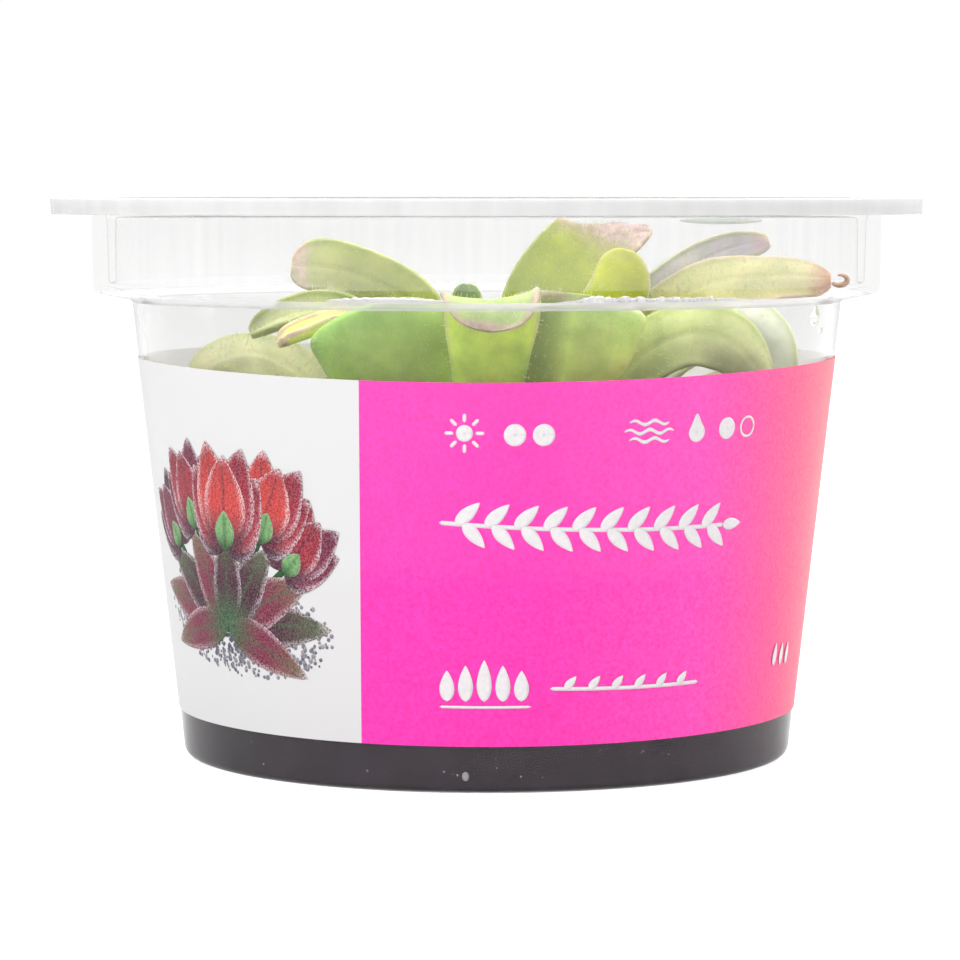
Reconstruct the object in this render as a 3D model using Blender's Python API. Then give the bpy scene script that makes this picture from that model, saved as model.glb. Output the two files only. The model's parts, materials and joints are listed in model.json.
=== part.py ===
"""A butterwort in a lidded culture cup.

A clear tapered cup holds dark culture gel and a rosette of fleshy leaves. A snap lid closes it,
and a printed label is wrapped round the taper. Metres, +Z up, origin at the centre of the cup's base.
"""

from math import cos, pi, radians, sin, sqrt

import bmesh
import bpy
from mathutils import Vector

MM = 0.001

# Driving dimensions
LID_RADIUS = 50 * MM
TOTAL_HEIGHT = 64 * MM
WALL = 0.8 * MM
CLEARANCE = 0.3 * MM

BASE_RADIUS = 33 * MM
FOOT_RADIUS = 34.8 * MM
FOOT_HEIGHT = 2 * MM
SHOULDER_RADIUS = 40.45 * MM
SHOULDER_HEIGHT = 52.4 * MM
COLLAR_RADIUS = 45.3 * MM
COLLAR_FOOT = 53.6 * MM
FLANGE_RADIUS = 49.2 * MM
FLANGE_BOTTOM = 62.2 * MM

PANEL_BOTTOM = 61.8 * MM
PANEL_THICKNESS = 0.6 * MM
PLUG_RADIUS = 43.4 * MM
PLUG_BOTTOM = 54.3 * MM

LABEL_GAP = 0.2 * MM
LABEL_THICKNESS = 0.25 * MM
LABEL_TOP = 45.9 * MM
LABEL_BOTTOM = 5.6 * MM
LABEL_TOP_DIP = 1.3 * MM
LABEL_BOTTOM_DIP = 0.35 * MM
LABEL_SEAM_SEGMENTS = 2

GEL_LEVEL = 23.4 * MM
GEL_HOLE_RADIUS = 4.9 * MM
GEL_HOLE_FLOOR = 12 * MM

TURNED_SEGMENTS = 72
LEAF_STATIONS = 13
LEAF_COLUMNS = 5
LEAF_MIDDLE = 1.3 * MM
LEAF_MARGIN = 0.66 * MM
LEAF_NOSE = 0.22 * MM
ROOT_REACH = 3.5 * MM


def clear_scene():
    """Removes every object that the scene starts with."""
    for old in list(bpy.data.objects):
        bpy.data.objects.remove(old, do_unlink=True)


def make_material(name, colour, roughness, alpha=1.0):
    """A Principled material with one colour."""
    material = bpy.data.materials.new(name)
    material.use_nodes = True
    shader = material.node_tree.nodes["Principled BSDF"]
    shader.inputs["Base Color"].default_value = (*colour, 1.0)
    shader.inputs["Roughness"].default_value = roughness
    shader.inputs["Metallic"].default_value = 0.0
    shader.inputs["Alpha"].default_value = alpha
    return material


def add_object(name, points, faces, material):
    """One named object from points and faces, with its normals facing out."""
    mesh = bpy.data.meshes.new(name)
    work = bmesh.new()
    corners = [work.verts.new(point) for point in points]
    for face in faces:
        work.faces.new([corners[index] for index in face])
    bmesh.ops.recalc_face_normals(work, faces=work.faces)
    work.to_mesh(mesh)
    work.free()
    mesh.shade_smooth()
    mesh.set_sharp_from_angle(angle=radians(40))
    mesh.materials.append(material)
    made = bpy.data.objects.new(name, mesh)
    bpy.context.collection.objects.link(made)
    return made


def turned(name, profile, material, segments=TURNED_SEGMENTS):
    """A solid of revolution. The profile runs from the axis round to the axis, as (radius, height)."""
    points = []
    rings = []
    for radius, height in profile:
        if radius == 0:
            rings.append([len(points)])
            points.append((0, 0, height))
            continue
        rings.append(range(len(points), len(points) + segments))
        for step in range(segments):
            angle = 2 * pi * step / segments
            points.append((radius * cos(angle), radius * sin(angle), height))
    faces = []
    for lower, upper in zip(rings, rings[1:]):
        for step in range(segments):
            after = (step + 1) % segments
            if len(lower) == 1:
                faces.append((lower[0], upper[step], upper[after]))
            elif len(upper) == 1:
                faces.append((lower[step], lower[after], upper[0]))
            else:
                faces.append((lower[step], lower[after], upper[after], upper[step]))
    return add_object(name, points, faces, material)


def wall_radius(height):
    """The cup's outer radius on the taper."""
    share = (height - FOOT_HEIGHT) / (SHOULDER_HEIGHT - FOOT_HEIGHT)
    return FOOT_RADIUS + share * (SHOULDER_RADIUS - FOOT_RADIUS)


def build_cup(material):
    """Base, taper, ledge, collar and flange, then the same way back inside."""
    inner_collar = COLLAR_RADIUS - WALL
    inner_shoulder = SHOULDER_RADIUS - WALL
    inner_foot = FOOT_RADIUS - WALL
    profile = [
        (0, 0),
        (BASE_RADIUS, 0),
        (BASE_RADIUS + 1.05 * MM, 0.3 * MM),
        (FOOT_RADIUS - 0.2 * MM, 1 * MM),
        (FOOT_RADIUS, FOOT_HEIGHT),
        (SHOULDER_RADIUS, SHOULDER_HEIGHT),
        (COLLAR_RADIUS - 1.2 * MM, COLLAR_FOOT - 0.4 * MM),
        (COLLAR_RADIUS - 0.35 * MM, COLLAR_FOOT),
        (COLLAR_RADIUS - 0.1 * MM, COLLAR_FOOT + 0.7 * MM),
        (COLLAR_RADIUS, FLANGE_BOTTOM),
        (FLANGE_RADIUS, FLANGE_BOTTOM),
        (FLANGE_RADIUS, FLANGE_BOTTOM + WALL),
        (inner_collar + 0.3 * MM, FLANGE_BOTTOM + WALL),
        (inner_collar, FLANGE_BOTTOM + 0.4 * MM),
        (inner_collar - 0.1 * MM, COLLAR_FOOT + 1.2 * MM),
        (inner_collar - 0.5 * MM, COLLAR_FOOT + 0.6 * MM),
        (inner_collar - 1.2 * MM, COLLAR_FOOT + 0.4 * MM),
        (inner_shoulder, SHOULDER_HEIGHT + 0.75 * MM),
        (inner_foot, FOOT_HEIGHT + 0.1 * MM),
        (inner_foot - 0.4 * MM, 1.2 * MM),
        (inner_foot - 1.4 * MM, WALL),
        (0, WALL),
    ]
    return turned("cup", profile, material)


def build_lid(material):
    """Recessed panel, flat rim over the cup's flange, and a plug ring inside the collar."""
    panel_top = PANEL_BOTTOM + PANEL_THICKNESS
    plug_inner = PLUG_RADIUS - WALL
    channel_top = FLANGE_BOTTOM + WALL + CLEARANCE
    skirt_inner = FLANGE_RADIUS + CLEARANCE
    profile = [
        (0, panel_top),
        (plug_inner, panel_top),
        (plug_inner + 0.5 * MM, TOTAL_HEIGHT - 0.3 * MM),
        (plug_inner + 0.9 * MM, TOTAL_HEIGHT),
        (LID_RADIUS - 0.2 * MM, TOTAL_HEIGHT),
        (LID_RADIUS, TOTAL_HEIGHT - 0.2 * MM),
        (LID_RADIUS - 0.12 * MM, FLANGE_BOTTOM),
        (skirt_inner, FLANGE_BOTTOM),
        (skirt_inner, channel_top),
        (PLUG_RADIUS + 0.8 * MM, channel_top),
        (PLUG_RADIUS + 0.2 * MM, PANEL_BOTTOM - 0.3 * MM),
        (PLUG_RADIUS, PLUG_BOTTOM + 0.3 * MM),
        (PLUG_RADIUS - 0.25 * MM, PLUG_BOTTOM),
        (plug_inner + 0.2 * MM, PLUG_BOTTOM),
        (plug_inner, PLUG_BOTTOM + 0.3 * MM),
        (plug_inner, PANEL_BOTTOM - 0.5 * MM),
        (plug_inner - 0.5 * MM, PANEL_BOTTOM),
        (0, PANEL_BOTTOM),
    ]
    return turned("lid", profile, material)


def build_label(material):
    """A film strip round the taper. Its edges dip towards the front, and a seam stays open at the back."""
    back = TURNED_SEGMENTS // 4
    first = back + LABEL_SEAM_SEGMENTS // 2
    count = TURNED_SEGMENTS - LABEL_SEAM_SEGMENTS + 1
    points = []
    for step in range(first, first + count):
        angle = 2 * pi * step / TURNED_SEGMENTS
        front = max(0.0, -sin(angle))
        top = LABEL_TOP - LABEL_TOP_DIP * front**2
        bottom = LABEL_BOTTOM - LABEL_BOTTOM_DIP * front**2
        for height in (bottom, top):
            inner = wall_radius(height) + LABEL_GAP
            outer = inner + LABEL_THICKNESS
            points.append((inner * cos(angle), inner * sin(angle), height))
            points.append((outer * cos(angle), outer * sin(angle), height))
    inner_low, outer_low, inner_high, outer_high = range(4)
    loop = (inner_low, outer_low, outer_high, inner_high)
    faces = [loop, tuple(4 * (count - 1) + corner for corner in reversed(loop))]
    for step in range(count - 1):
        here = 4 * step
        for one, two in zip(loop, loop[1:] + loop[:1]):
            faces.append((here + one, here + 4 + one, here + 4 + two, here + two))
    return add_object("label", points, faces, material)


def build_gel(material):
    """Culture gel with a low meniscus at the wall and one plain hole for the crown."""
    inset = WALL + CLEARANCE
    profile = [
        (0, WALL + CLEARANCE),
        (FOOT_RADIUS - inset - 1.5 * MM, WALL + CLEARANCE),
        (FOOT_RADIUS - inset - 0.5 * MM, 1.6 * MM),
        (wall_radius(2.6 * MM) - inset, 2.6 * MM),
        (wall_radius(GEL_LEVEL + 0.9 * MM) - inset, GEL_LEVEL + 0.9 * MM),
        (wall_radius(GEL_LEVEL) - inset - 1 * MM, GEL_LEVEL + 0.2 * MM),
        (wall_radius(GEL_LEVEL) - inset - 4 * MM, GEL_LEVEL),
        (GEL_HOLE_RADIUS, GEL_LEVEL),
        (GEL_HOLE_RADIUS - 1 * MM, GEL_HOLE_FLOOR),
        (0, GEL_HOLE_FLOOR),
    ]
    return turned("gel", profile, material)


def crown_solid(name, material, grown):
    """Root stock in the gel's hole and the mound above it, with every face moved out by grown."""
    segments = 16
    floor = GEL_HOLE_FLOOR + CLEARANCE
    above = GEL_LEVEL + CLEARANCE
    # Height, half-width left to right, half-width front to back
    sections = [
        (floor - grown, 3.2 * MM, 3.2 * MM),
        (GEL_LEVEL - 0.2 * MM, GEL_HOLE_RADIUS - 0.5 * MM, GEL_HOLE_RADIUS - 0.5 * MM),
        (above, 4.6 * MM, 4.4 * MM),
        (above + 0.5 * MM, 7.6 * MM, 5.2 * MM),
        (27 * MM, 8.2 * MM, 5.6 * MM),
        (30 * MM, 7.2 * MM, 4.8 * MM),
        (33 * MM, 5 * MM, 3.4 * MM),
        (35 * MM + grown, 2.4 * MM, 1.8 * MM),
    ]
    points = []
    for height, wide, deep in sections:
        for step in range(segments):
            angle = 2 * pi * step / segments
            points.append(((wide + grown) * cos(angle), (deep + grown) * sin(angle), height))
    faces = [tuple(reversed(range(segments)))]
    last = segments * (len(sections) - 1)
    faces.append(tuple(range(last, last + segments)))
    for ring in range(len(sections) - 1):
        for step in range(segments):
            after = (step + 1) % segments
            low = ring * segments
            high = low + segments
            faces.append((low + step, low + after, high + after, high + step))
    return add_object(name, points, faces, material)


def build_crown(material):
    """The crown, and a slightly larger copy of it that trims the leaves' bases to its surface."""
    crown_solid("crown", material, 0)
    trimmer = crown_solid("crown_trimmer", material, 1.35 * CLEARANCE)
    trimmer.hide_render = True
    trimmer.display_type = "WIRE"
    return trimmer


# Each leaf: its midrib from the crown to the tip in millimetres, its half-width at the base and at its
# broadest, where along it that is, how round its tip is, the ways its upper face looks from the base to
# the tip, and how far its margins curl towards that face, in degrees at the base and at the tip.
LEAVES = {
    "leaf_arm_left": dict(
        midrib=[(-5, 4, 32), (-4.6, 7, 41), (-6.2, 8, 49.4), (-11.5, 8, 53.3),
                (-17.4, 8, 55.4), (-23, 8, 55.9)],
        base=1.3, broad=3.4, at=0.84, tip=2.4, face=[(-1, -0.5, 0.2), (0, -1, 0.5)], curl=[35, 20],
    ),
    "leaf_lobe_left": dict(
        midrib=[(-7.5, -1.5, 31), (-10, -3.5, 41), (-13, -6.5, 48.5), (-17.5, -7.5, 51),
                (-22.5, -8, 50.3), (-26.8, -8, 48.4)],
        base=1.4, broad=2.6, at=0.66, tip=3, face=[(-0.6, -0.4, 0.8), (-0.1, -0.8, 1)], curl=[35, 60],
    ),
    "leaf_rolled_left": dict(
        midrib=[(-6.5, -5, 31), (-8.5, -9.5, 41), (-11.5, -13, 48.8), (-16, -14, 49.9),
                (-20, -14.2, 48.9), (-23.4, -14, 47.6)],
        base=1.4, broad=2.1, at=0.7, tip=3.4, face=[(-0.5, 0.5, 0.7), (-0.2, -0.6, 1)], curl=[40, 75],
    ),
    "leaf_dome_left": dict(
        midrib=[(-9, 2.4, 29.2), (-14, 4.2, 36), (-20, 5, 41.6), (-26, 5, 45.2),
                (-31, 4.5, 44.8), (-34.6, 4, 41.8)],
        base=2, broad=5.4, at=0.6, tip=1.5, face=[(-0.5, -0.2, 1), (0.1, -0.75, 1)], curl=[20, -25],
    ),
    "leaf_front_left": dict(
        midrib=[(-4, -7, 29), (-6.5, -13.5, 36.5), (-9.5, -18.5, 43), (-11.8, -20.5, 48.5),
                (-13, -20.8, 52.3)],
        base=1.8, broad=8, at=0.74, tip=2.6, face=[(0.1, 0.7, 0.7), (-0.2, 0.8, 0.4)], curl=[35, 25],
    ),
    "leaf_front_centre": dict(
        midrib=[(0.5, -8, 28), (-0.2, -18, 35), (0, -25.4, 42), (0.4, -28.4, 47.5),
                (0.5, -29.8, 51.2), (0.4, -31.8, 52.6), (0.2, -33.6, 51.4), (0, -34.2, 49.8)],
        base=1.8, broad=5.4, at=0.66, tip=2.4,
        face=[(0, 0.6, 0.8), (0, 1, 0.4), (0, -1, 0.3)], curl=[30, 20],
    ),
    "leaf_front_right": dict(
        midrib=[(5.4, -6.5, 29), (7.4, -12, 37), (9, -16, 44), (10, -17.6, 49), (10.6, -17.4, 53.4)],
        base=1.7, broad=8, at=0.84, tip=4.5, face=[(0, 0.7, 0.7), (-0.1, 0.8, 0.5)], curl=[30, 18],
    ),
    "leaf_tall": dict(
        midrib=[(3, 1.5, 36), (4.2, 1, 44), (6.8, 0.2, 51.5), (10.9, -0.2, 57),
                (13.6, 1, 59.9), (15, 5, 60.6)],
        base=1.6, broad=5.9, at=0.6, tip=3, face=[(0, -1, 0.2), (-0.15, -0.4, 1)], curl=[30, -4],
    ),
    "leaf_folded": dict(
        midrib=[(6.4, -2.9, 33.5), (9.8, -5, 42), (12.8, -7, 49), (14.8, -8, 53.5), (15.9, -7.6, 58.2)],
        base=1.6, broad=3.5, at=0.76, tip=2.4, face=[(0.4, -0.6, 0.7), (0.1, 1, 0.2)], curl=[30, 35],
    ),
    "leaf_back_right": dict(
        midrib=[(5.2, 5.4, 32), (8.8, 9.2, 40), (15.4, 11.5, 48.4), (22, 12.5, 54.2),
                (28, 12.8, 57.4), (33.6, 12.5, 58.9)],
        base=1.5, broad=2.2, at=0.66, tip=2.4, face=[(0.5, -0.3, 0.8), (0, -1, 0.5)], curl=[30, 15],
    ),
    "leaf_broad_right": dict(
        midrib=[(8.6, 0.5, 31.8), (11.7, 0.5, 40), (17.5, 0, 48.6), (25, -0.4, 53.4),
                (33, -0.5, 54.6), (39.8, -0.5, 54.5)],
        base=1.6, broad=4.5, at=0.6, tip=1.7, face=[(-0.6, 0, 1), (0.1, -1.05, 1)], curl=[35, -14],
    ),
    "leaf_arch_right": dict(
        midrib=[(9, -5, 29.6), (12.6, -7.4, 37.4), (16.6, -10, 45), (22, -12, 48.4),
                (27, -12.8, 47.9), (31.6, -12.6, 43.4)],
        base=1.6, broad=3.7, at=0.62, tip=2.4, face=[(-0.5, -0.8, 0.6), (0.2, -1, 0.3)], curl=[30, -12],
    ),
    "leaf_pale_right": dict(
        midrib=[(9.2, 4.8, 29.4), (14.2, 7, 36.8), (21.5, 8.6, 44.5), (28.2, 8.6, 49.4),
                (32.4, 8, 47.4), (33.2, 7.6, 42), (32.6, 7.2, 37.4)],
        base=1.7, broad=3.8, at=0.6, tip=2.4, face=[(-0.4, -0.4, 0.9), (0.5, -1, 0.3)], curl=[30, -15],
    ),
    "leaf_under_arch": dict(
        midrib=[(9.8, -1, 27.2), (15, -2.4, 33.4), (21, -3, 40.2), (27, -3, 43.8),
                (32.5, -3, 42.4), (35, -3, 38.6)],
        base=1.8, broad=4, at=0.62, tip=2.4, face=[(-0.5, -0.1, 1), (0.2, -0.35, 1)], curl=[25, -20],
    ),
    "leaf_heart": dict(
        midrib=[(-1.2, 2.6, 37), (-2, 3.6, 43), (-2.5, 4.6, 48.5), (-2.2, 5.4, 54)],
        base=1.2, broad=1.8, at=0.7, tip=5, face=[(0, -1, 0.3), (0.2, -1, 0.2)], curl=[35, 45],
    ),
    "leaf_low_left": dict(
        midrib=[(-9.6, -2.8, 27.2), (-15.5, -5.6, 31), (-21.5, -8.4, 34), (-27, -10.5, 35),
                (-31, -11.5, 33)],
        base=1.9, broad=5, at=0.6, tip=2.4, face=[(0.2, 0, 1), (-0.3, 0, 1)], curl=[20, -15],
    ),
    "leaf_low_back_left": dict(
        midrib=[(-7.4, 5.8, 27), (-12, 12, 33), (-16.5, 18, 37), (-20.5, 22.5, 37),
                (-23.5, 25.5, 34.5)],
        base=1.8, broad=5, at=0.62, tip=2.4, face=[(0.2, -0.3, 1), (-0.3, 0.3, 1)], curl=[25, -15],
    ),
    "leaf_low_back": dict(
        midrib=[(-1.4, 7.4, 27.2), (0.2, 14.5, 33), (1.6, 21.5, 37), (2, 27, 37), (2, 31.4, 34.5)],
        base=1.8, broad=5.2, at=0.6, tip=2.4, face=[(0, -0.3, 1), (0, 0.3, 1)], curl=[25, -15],
    ),
    "leaf_low_back_right": dict(
        midrib=[(4.6, 7.2, 27.2), (10, 14.2, 32.5), (15.4, 20.4, 36), (19.4, 24.6, 36),
                (22.4, 27.4, 33.5)],
        base=1.7, broad=4.6, at=0.62, tip=2.4, face=[(-0.2, -0.3, 1), (0.3, 0.3, 1)], curl=[25, -15],
    ),
}


def along(points, share):
    """The place on a smooth curve through the points, for a share from 0 to 1."""
    spans = len(points) - 1
    reach = min(share * spans, spans - 1e-6)
    span = int(reach)
    t = reach - span
    near = points[span]
    far = points[span + 1]
    before = points[span - 1] if span > 0 else near * 2 - far
    after = points[span + 2] if span + 2 <= spans else far * 2 - near
    return 0.5 * (
        near * 2
        + (far - before) * t
        + (before * 2 - near * 5 + far * 4 - after) * t**2
        + (near * 3 - before - far * 3 + after) * t**3
    )


def face_at(share, faces):
    """The way that the upper face looks, changing evenly from one of the faces to the next."""
    reach = min(share, 1 - 1e-6) * (len(faces) - 1)
    step = int(reach)
    return Vector(faces[step]).lerp(Vector(faces[step + 1]), reach - step)


def blade_half_width(share, leaf):
    """Widens smoothly from the base, is broadest at leaf['at'], and ends in a round tip."""
    broadest = leaf["at"]
    if share < broadest:
        rise = sin(0.5 * pi * share / broadest) ** 1.5
        return (leaf["base"] + (leaf["broad"] - leaf["base"]) * rise) * MM
    fall = (share - broadest) / (1 - broadest)
    return leaf["broad"] * MM * sqrt(max(0.0, 1 - fall ** leaf["tip"]))


def build_leaf(name, leaf, material, trimmer):
    """A fleshy blade: arched cross-sections along the midrib, thick in the middle, round at the margin.

    It starts inside the crown's outline, and the trimmer cuts its base back to the crown's surface.
    """
    midrib = [Vector(point) * MM for point in leaf["midrib"]]
    midrib[0] += (midrib[0] - midrib[1]).normalized() * ROOT_REACH
    points = []
    for station in range(LEAF_STATIONS):
        share = sin(0.5 * pi * station / (LEAF_STATIONS - 1)) * 0.985
        place = along(midrib, share)
        direction = (along(midrib, min(share + 0.01, 1)) - along(midrib, share - 0.01)).normalized()
        face = face_at(share, leaf["face"])
        up = (face - direction * face.dot(direction)).normalized()
        side = direction.cross(up)
        half = blade_half_width(share, leaf)
        curl = radians(leaf["curl"][0] + (leaf["curl"][1] - leaf["curl"][0]) * share)
        top = []
        bottom = []
        noses = []
        for column in range(LEAF_COLUMNS):
            across = 2 * column / (LEAF_COLUMNS - 1) - 1
            turn = across * curl
            reach = half * (sin(turn) / curl if curl else across)
            lift = half * ((1 - cos(turn)) / curl if curl else 0)
            normal = up * cos(turn) - side * sin(turn)
            thick = LEAF_MARGIN + (LEAF_MIDDLE - LEAF_MARGIN) * (1 - across**2) * min(1, half / (3 * MM))
            middle = place + side * reach + up * lift
            top.append(middle + normal * thick / 2)
            bottom.append(middle - normal * thick / 2)
            if abs(across) == 1:
                noses.append(middle + (side * cos(turn) + up * sin(turn)) * across * LEAF_NOSE)
        points += top + [noses[1]] + bottom[::-1] + [noses[0]]
    ring = 2 * LEAF_COLUMNS + 2
    faces = []
    for station in range(LEAF_STATIONS - 1):
        low = station * ring
        high = low + ring
        for step in range(ring):
            after = (step + 1) % ring
            quad = (low + step, low + after, high + after, high + step)
            # The lower face is split along the same diagonals as the upper one
            if LEAF_COLUMNS < step < ring - 1:
                faces += [(quad[0], quad[1], quad[2]), (quad[0], quad[2], quad[3])]
            else:
                faces += [(quad[0], quad[1], quad[3]), (quad[1], quad[2], quad[3])]
    faces += end_faces(0) + end_faces((LEAF_STATIONS - 1) * ring)
    blade = add_object(name, points, faces, material)
    trim = blade.modifiers.new("seat_on_crown", "BOOLEAN")
    trim.operation = "DIFFERENCE"
    trim.object = trimmer
    return blade


def end_faces(start):
    """Closes a blade's end, with a face for each pair of columns and one for each margin."""
    ring = 2 * LEAF_COLUMNS + 2
    right_nose = start + LEAF_COLUMNS
    left_nose = start + ring - 1
    faces = [
        (start + LEAF_COLUMNS - 1, right_nose, right_nose + 1),
        (left_nose, start, left_nose - 1),
    ]
    for column in range(LEAF_COLUMNS - 1):
        top = start + column
        low = left_nose - 1 - column
        faces.append((top, top + 1, low - 1, low))
    return faces


def build_all():
    clear_scene()
    plastic = make_material("clear_plastic", (0.93, 0.94, 0.95), 0.12, alpha=0.25)
    lid_plastic = make_material("translucent_plastic", (0.94, 0.94, 0.94), 0.3, alpha=0.4)
    print_film = make_material("printed_film", (0.95, 0.12, 0.5), 0.4)
    charcoal = make_material("charcoal_gel", (0.03, 0.025, 0.03), 0.35)
    flesh = make_material("leaf_flesh", (0.42, 0.56, 0.16), 0.45)
    stem = make_material("pale_stem", (0.55, 0.6, 0.3), 0.5)
    build_cup(plastic)
    build_lid(lid_plastic)
    build_label(print_film)
    build_gel(charcoal)
    trimmer = build_crown(stem)
    for name, leaf in LEAVES.items():
        build_leaf(name, leaf, flesh, trimmer)


build_all()
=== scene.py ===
"""Looks of a butterwort in a clear culture cup with a snap lid and a printed label.

Metres, +Z up, the cup's base centred on the origin and the label's front towards -Y.
"""

import json
import math
import random
from math import cos, pi, radians, sin, sqrt

import bpy
import numpy as np
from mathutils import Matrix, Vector

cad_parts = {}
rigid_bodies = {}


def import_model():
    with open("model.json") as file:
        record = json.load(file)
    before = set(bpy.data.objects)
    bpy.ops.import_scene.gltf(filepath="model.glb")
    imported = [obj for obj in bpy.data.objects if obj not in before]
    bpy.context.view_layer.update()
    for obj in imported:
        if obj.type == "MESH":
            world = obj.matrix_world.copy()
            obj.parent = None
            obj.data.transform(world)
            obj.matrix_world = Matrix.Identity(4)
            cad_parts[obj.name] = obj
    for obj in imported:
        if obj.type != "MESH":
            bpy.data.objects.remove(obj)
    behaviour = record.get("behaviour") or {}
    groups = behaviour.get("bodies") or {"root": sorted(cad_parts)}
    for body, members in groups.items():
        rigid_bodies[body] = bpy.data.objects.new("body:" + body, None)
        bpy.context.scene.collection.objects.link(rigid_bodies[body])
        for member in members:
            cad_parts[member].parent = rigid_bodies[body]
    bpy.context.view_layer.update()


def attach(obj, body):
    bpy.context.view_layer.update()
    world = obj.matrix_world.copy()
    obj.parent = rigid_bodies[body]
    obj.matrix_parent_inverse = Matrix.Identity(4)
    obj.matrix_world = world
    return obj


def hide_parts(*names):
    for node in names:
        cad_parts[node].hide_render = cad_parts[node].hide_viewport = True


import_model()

MM = 0.001

# The cup, the lid and the label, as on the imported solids
LID_RADIUS = 50 * MM
TOTAL_HEIGHT = 64 * MM
WALL = 0.8 * MM
CLEARANCE = 0.3 * MM
FOOT_RADIUS = 34.8 * MM
FOOT_HEIGHT = 2 * MM
SHOULDER_RADIUS = 40.45 * MM
SHOULDER_HEIGHT = 52.4 * MM
TAPER = (SHOULDER_RADIUS - FOOT_RADIUS) / (SHOULDER_HEIGHT - FOOT_HEIGHT)
COLLAR_RADIUS = 45.3 * MM
COLLAR_FOOT = 53.6 * MM
COLLAR_DRAFT = 0.12 * MM
INNER_COLLAR_FOOT = COLLAR_FOOT + 0.5 * MM
INNER_SHOULDER_HEIGHT = SHOULDER_HEIGHT + 0.75 * MM
FLANGE_RADIUS = 49.2 * MM
FLANGE_BOTTOM = 62.2 * MM
PANEL_BOTTOM = 61.8 * MM
PANEL_THICKNESS = 0.6 * MM
PLUG_RADIUS = 43.4 * MM
PLUG_BOTTOM = 54.3 * MM
LABEL_GAP = 0.2 * MM
LABEL_THICKNESS = 0.25 * MM
# The wall is drawn a little further out than its solid, right behind a thinner label film
SWELL = 0.32 * MM
FILM = 0.08 * MM
LABEL_TOP = 45.9 * MM
LABEL_BOTTOM = 5.6 * MM
LABEL_TOP_DIP = 1.3 * MM
LABEL_BOTTOM_DIP = 0.35 * MM
LABEL_END = 175
GEL_LEVEL = 23.4 * MM
GEL_HOLE_RADIUS = 4.9 * MM
GEL_HOLE_FLOOR = 12 * MM

TURNED_SEGMENTS = 288
FILLET_STEPS = 5

# A refractive index so near 1 that the plastic bends no light and mirrors nothing
NO_BEND = 1.0001

# How much light passes the label: through its printed front, its bare back panel and its reverse
FRONT_LIGHT = 0.08
REAR_LIGHT = 0.5
REVERSE_LIGHT = 0.85


# Small helpers for node trees and meshes

def feed(tree, socket, value):
    """Feeds an input by another node's output or by a value."""
    if isinstance(value, bpy.types.NodeSocket):
        tree.links.new(value, socket)
    else:
        socket.default_value = value


def add(tree, kind, feeds=None, **settings):
    """One node, with its settings and with its inputs fed."""
    made = tree.nodes.new(kind)
    for key, value in settings.items():
        setattr(made, key, value)
    for key, value in (feeds or {}).items():
        feed(tree, made.inputs[key], value)
    return made


def math_node(tree, operation, *values):
    """The output of one Math node."""
    return add(tree, "ShaderNodeMath", dict(enumerate(values)), operation=operation).outputs[0]


def geometry_tree(name, inputs):
    """A node tree with a geometry input, the named inputs and a geometry output."""
    tree = bpy.data.node_groups.new(name, "GeometryNodeTree")
    tree.interface.new_socket("Geometry", in_out="INPUT", socket_type="NodeSocketGeometry")
    for label, kind, value in inputs:
        socket = tree.interface.new_socket(label, in_out="INPUT", socket_type=kind)
        if value is not None:
            socket.default_value = value
    tree.interface.new_socket("Geometry", in_out="OUTPUT", socket_type="NodeSocketGeometry")
    return tree, tree.nodes.new("NodeGroupInput").outputs


def end_tree(tree, geometry, material):
    """Ends a tree in Realize Instances and Set Material."""
    real = add(tree, "GeometryNodeRealizeInstances", {"Geometry": geometry})
    done = add(tree, "GeometryNodeSetMaterial", {"Geometry": real.outputs[0], "Material": material})
    add(tree, "NodeGroupOutput", {0: done.outputs[0]})


def grown(name, source, tree, settings):
    """A plain mesh object: what the tree makes from the source mesh with these settings."""
    holder = bpy.data.objects.new(name + "_source", source)
    bpy.context.collection.objects.link(holder)
    modifier = holder.modifiers.new("grow", "NODES")
    modifier.node_group = tree
    for item in tree.interface.items_tree:
        if item.item_type == "SOCKET" and item.in_out == "INPUT" and item.name in settings:
            modifier[item.identifier] = settings[item.name]
    graph = bpy.context.evaluated_depsgraph_get()
    mesh = bpy.data.meshes.new_from_object(holder.evaluated_get(graph), depsgraph=graph)
    mesh.name = name
    holder.modifiers.remove(modifier)
    bpy.data.objects.remove(holder, do_unlink=True)
    made = bpy.data.objects.new(name, mesh)
    bpy.context.collection.objects.link(made)
    return made


def mesh_from(name, points, faces):
    mesh = bpy.data.meshes.new(name)
    mesh.from_pydata([tuple(point) for point in points], [], faces)
    mesh.update()
    return mesh


def add_mesh(name, points, faces, material, smooth=True):
    """One object from points and faces."""
    mesh = mesh_from(name, points, faces)
    if smooth:
        mesh.shade_smooth()
    mesh.materials.append(material)
    made = bpy.data.objects.new(name, mesh)
    bpy.context.collection.objects.link(made)
    return made


def faces_out(piece):
    """Turns the faces of a closed mesh round if they point inwards."""
    mesh = piece.data
    mesh.calc_loop_triangles()
    points = np.empty(len(mesh.vertices) * 3)
    mesh.vertices.foreach_get("co", points)
    corners = np.empty(len(mesh.loop_triangles) * 3, int)
    mesh.loop_triangles.foreach_get("vertices", corners)
    a, b, c = points.reshape(-1, 3)[corners.reshape(-1, 3)].transpose(1, 0, 2)
    if np.einsum("ij,ij->i", a, np.cross(b, c)).sum() < 0:
        mesh.flip_normals()
    return piece


def store(mesh, name, kind, values):
    """A named attribute on the mesh's points. Its kind is FLOAT or FLOAT_COLOR."""
    layer = mesh.attributes.new(name, kind, "POINT")
    field = {"FLOAT": "value", "FLOAT_COLOR": "color"}[kind]
    layer.data.foreach_set(field, np.asarray(values, float).ravel())


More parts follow.
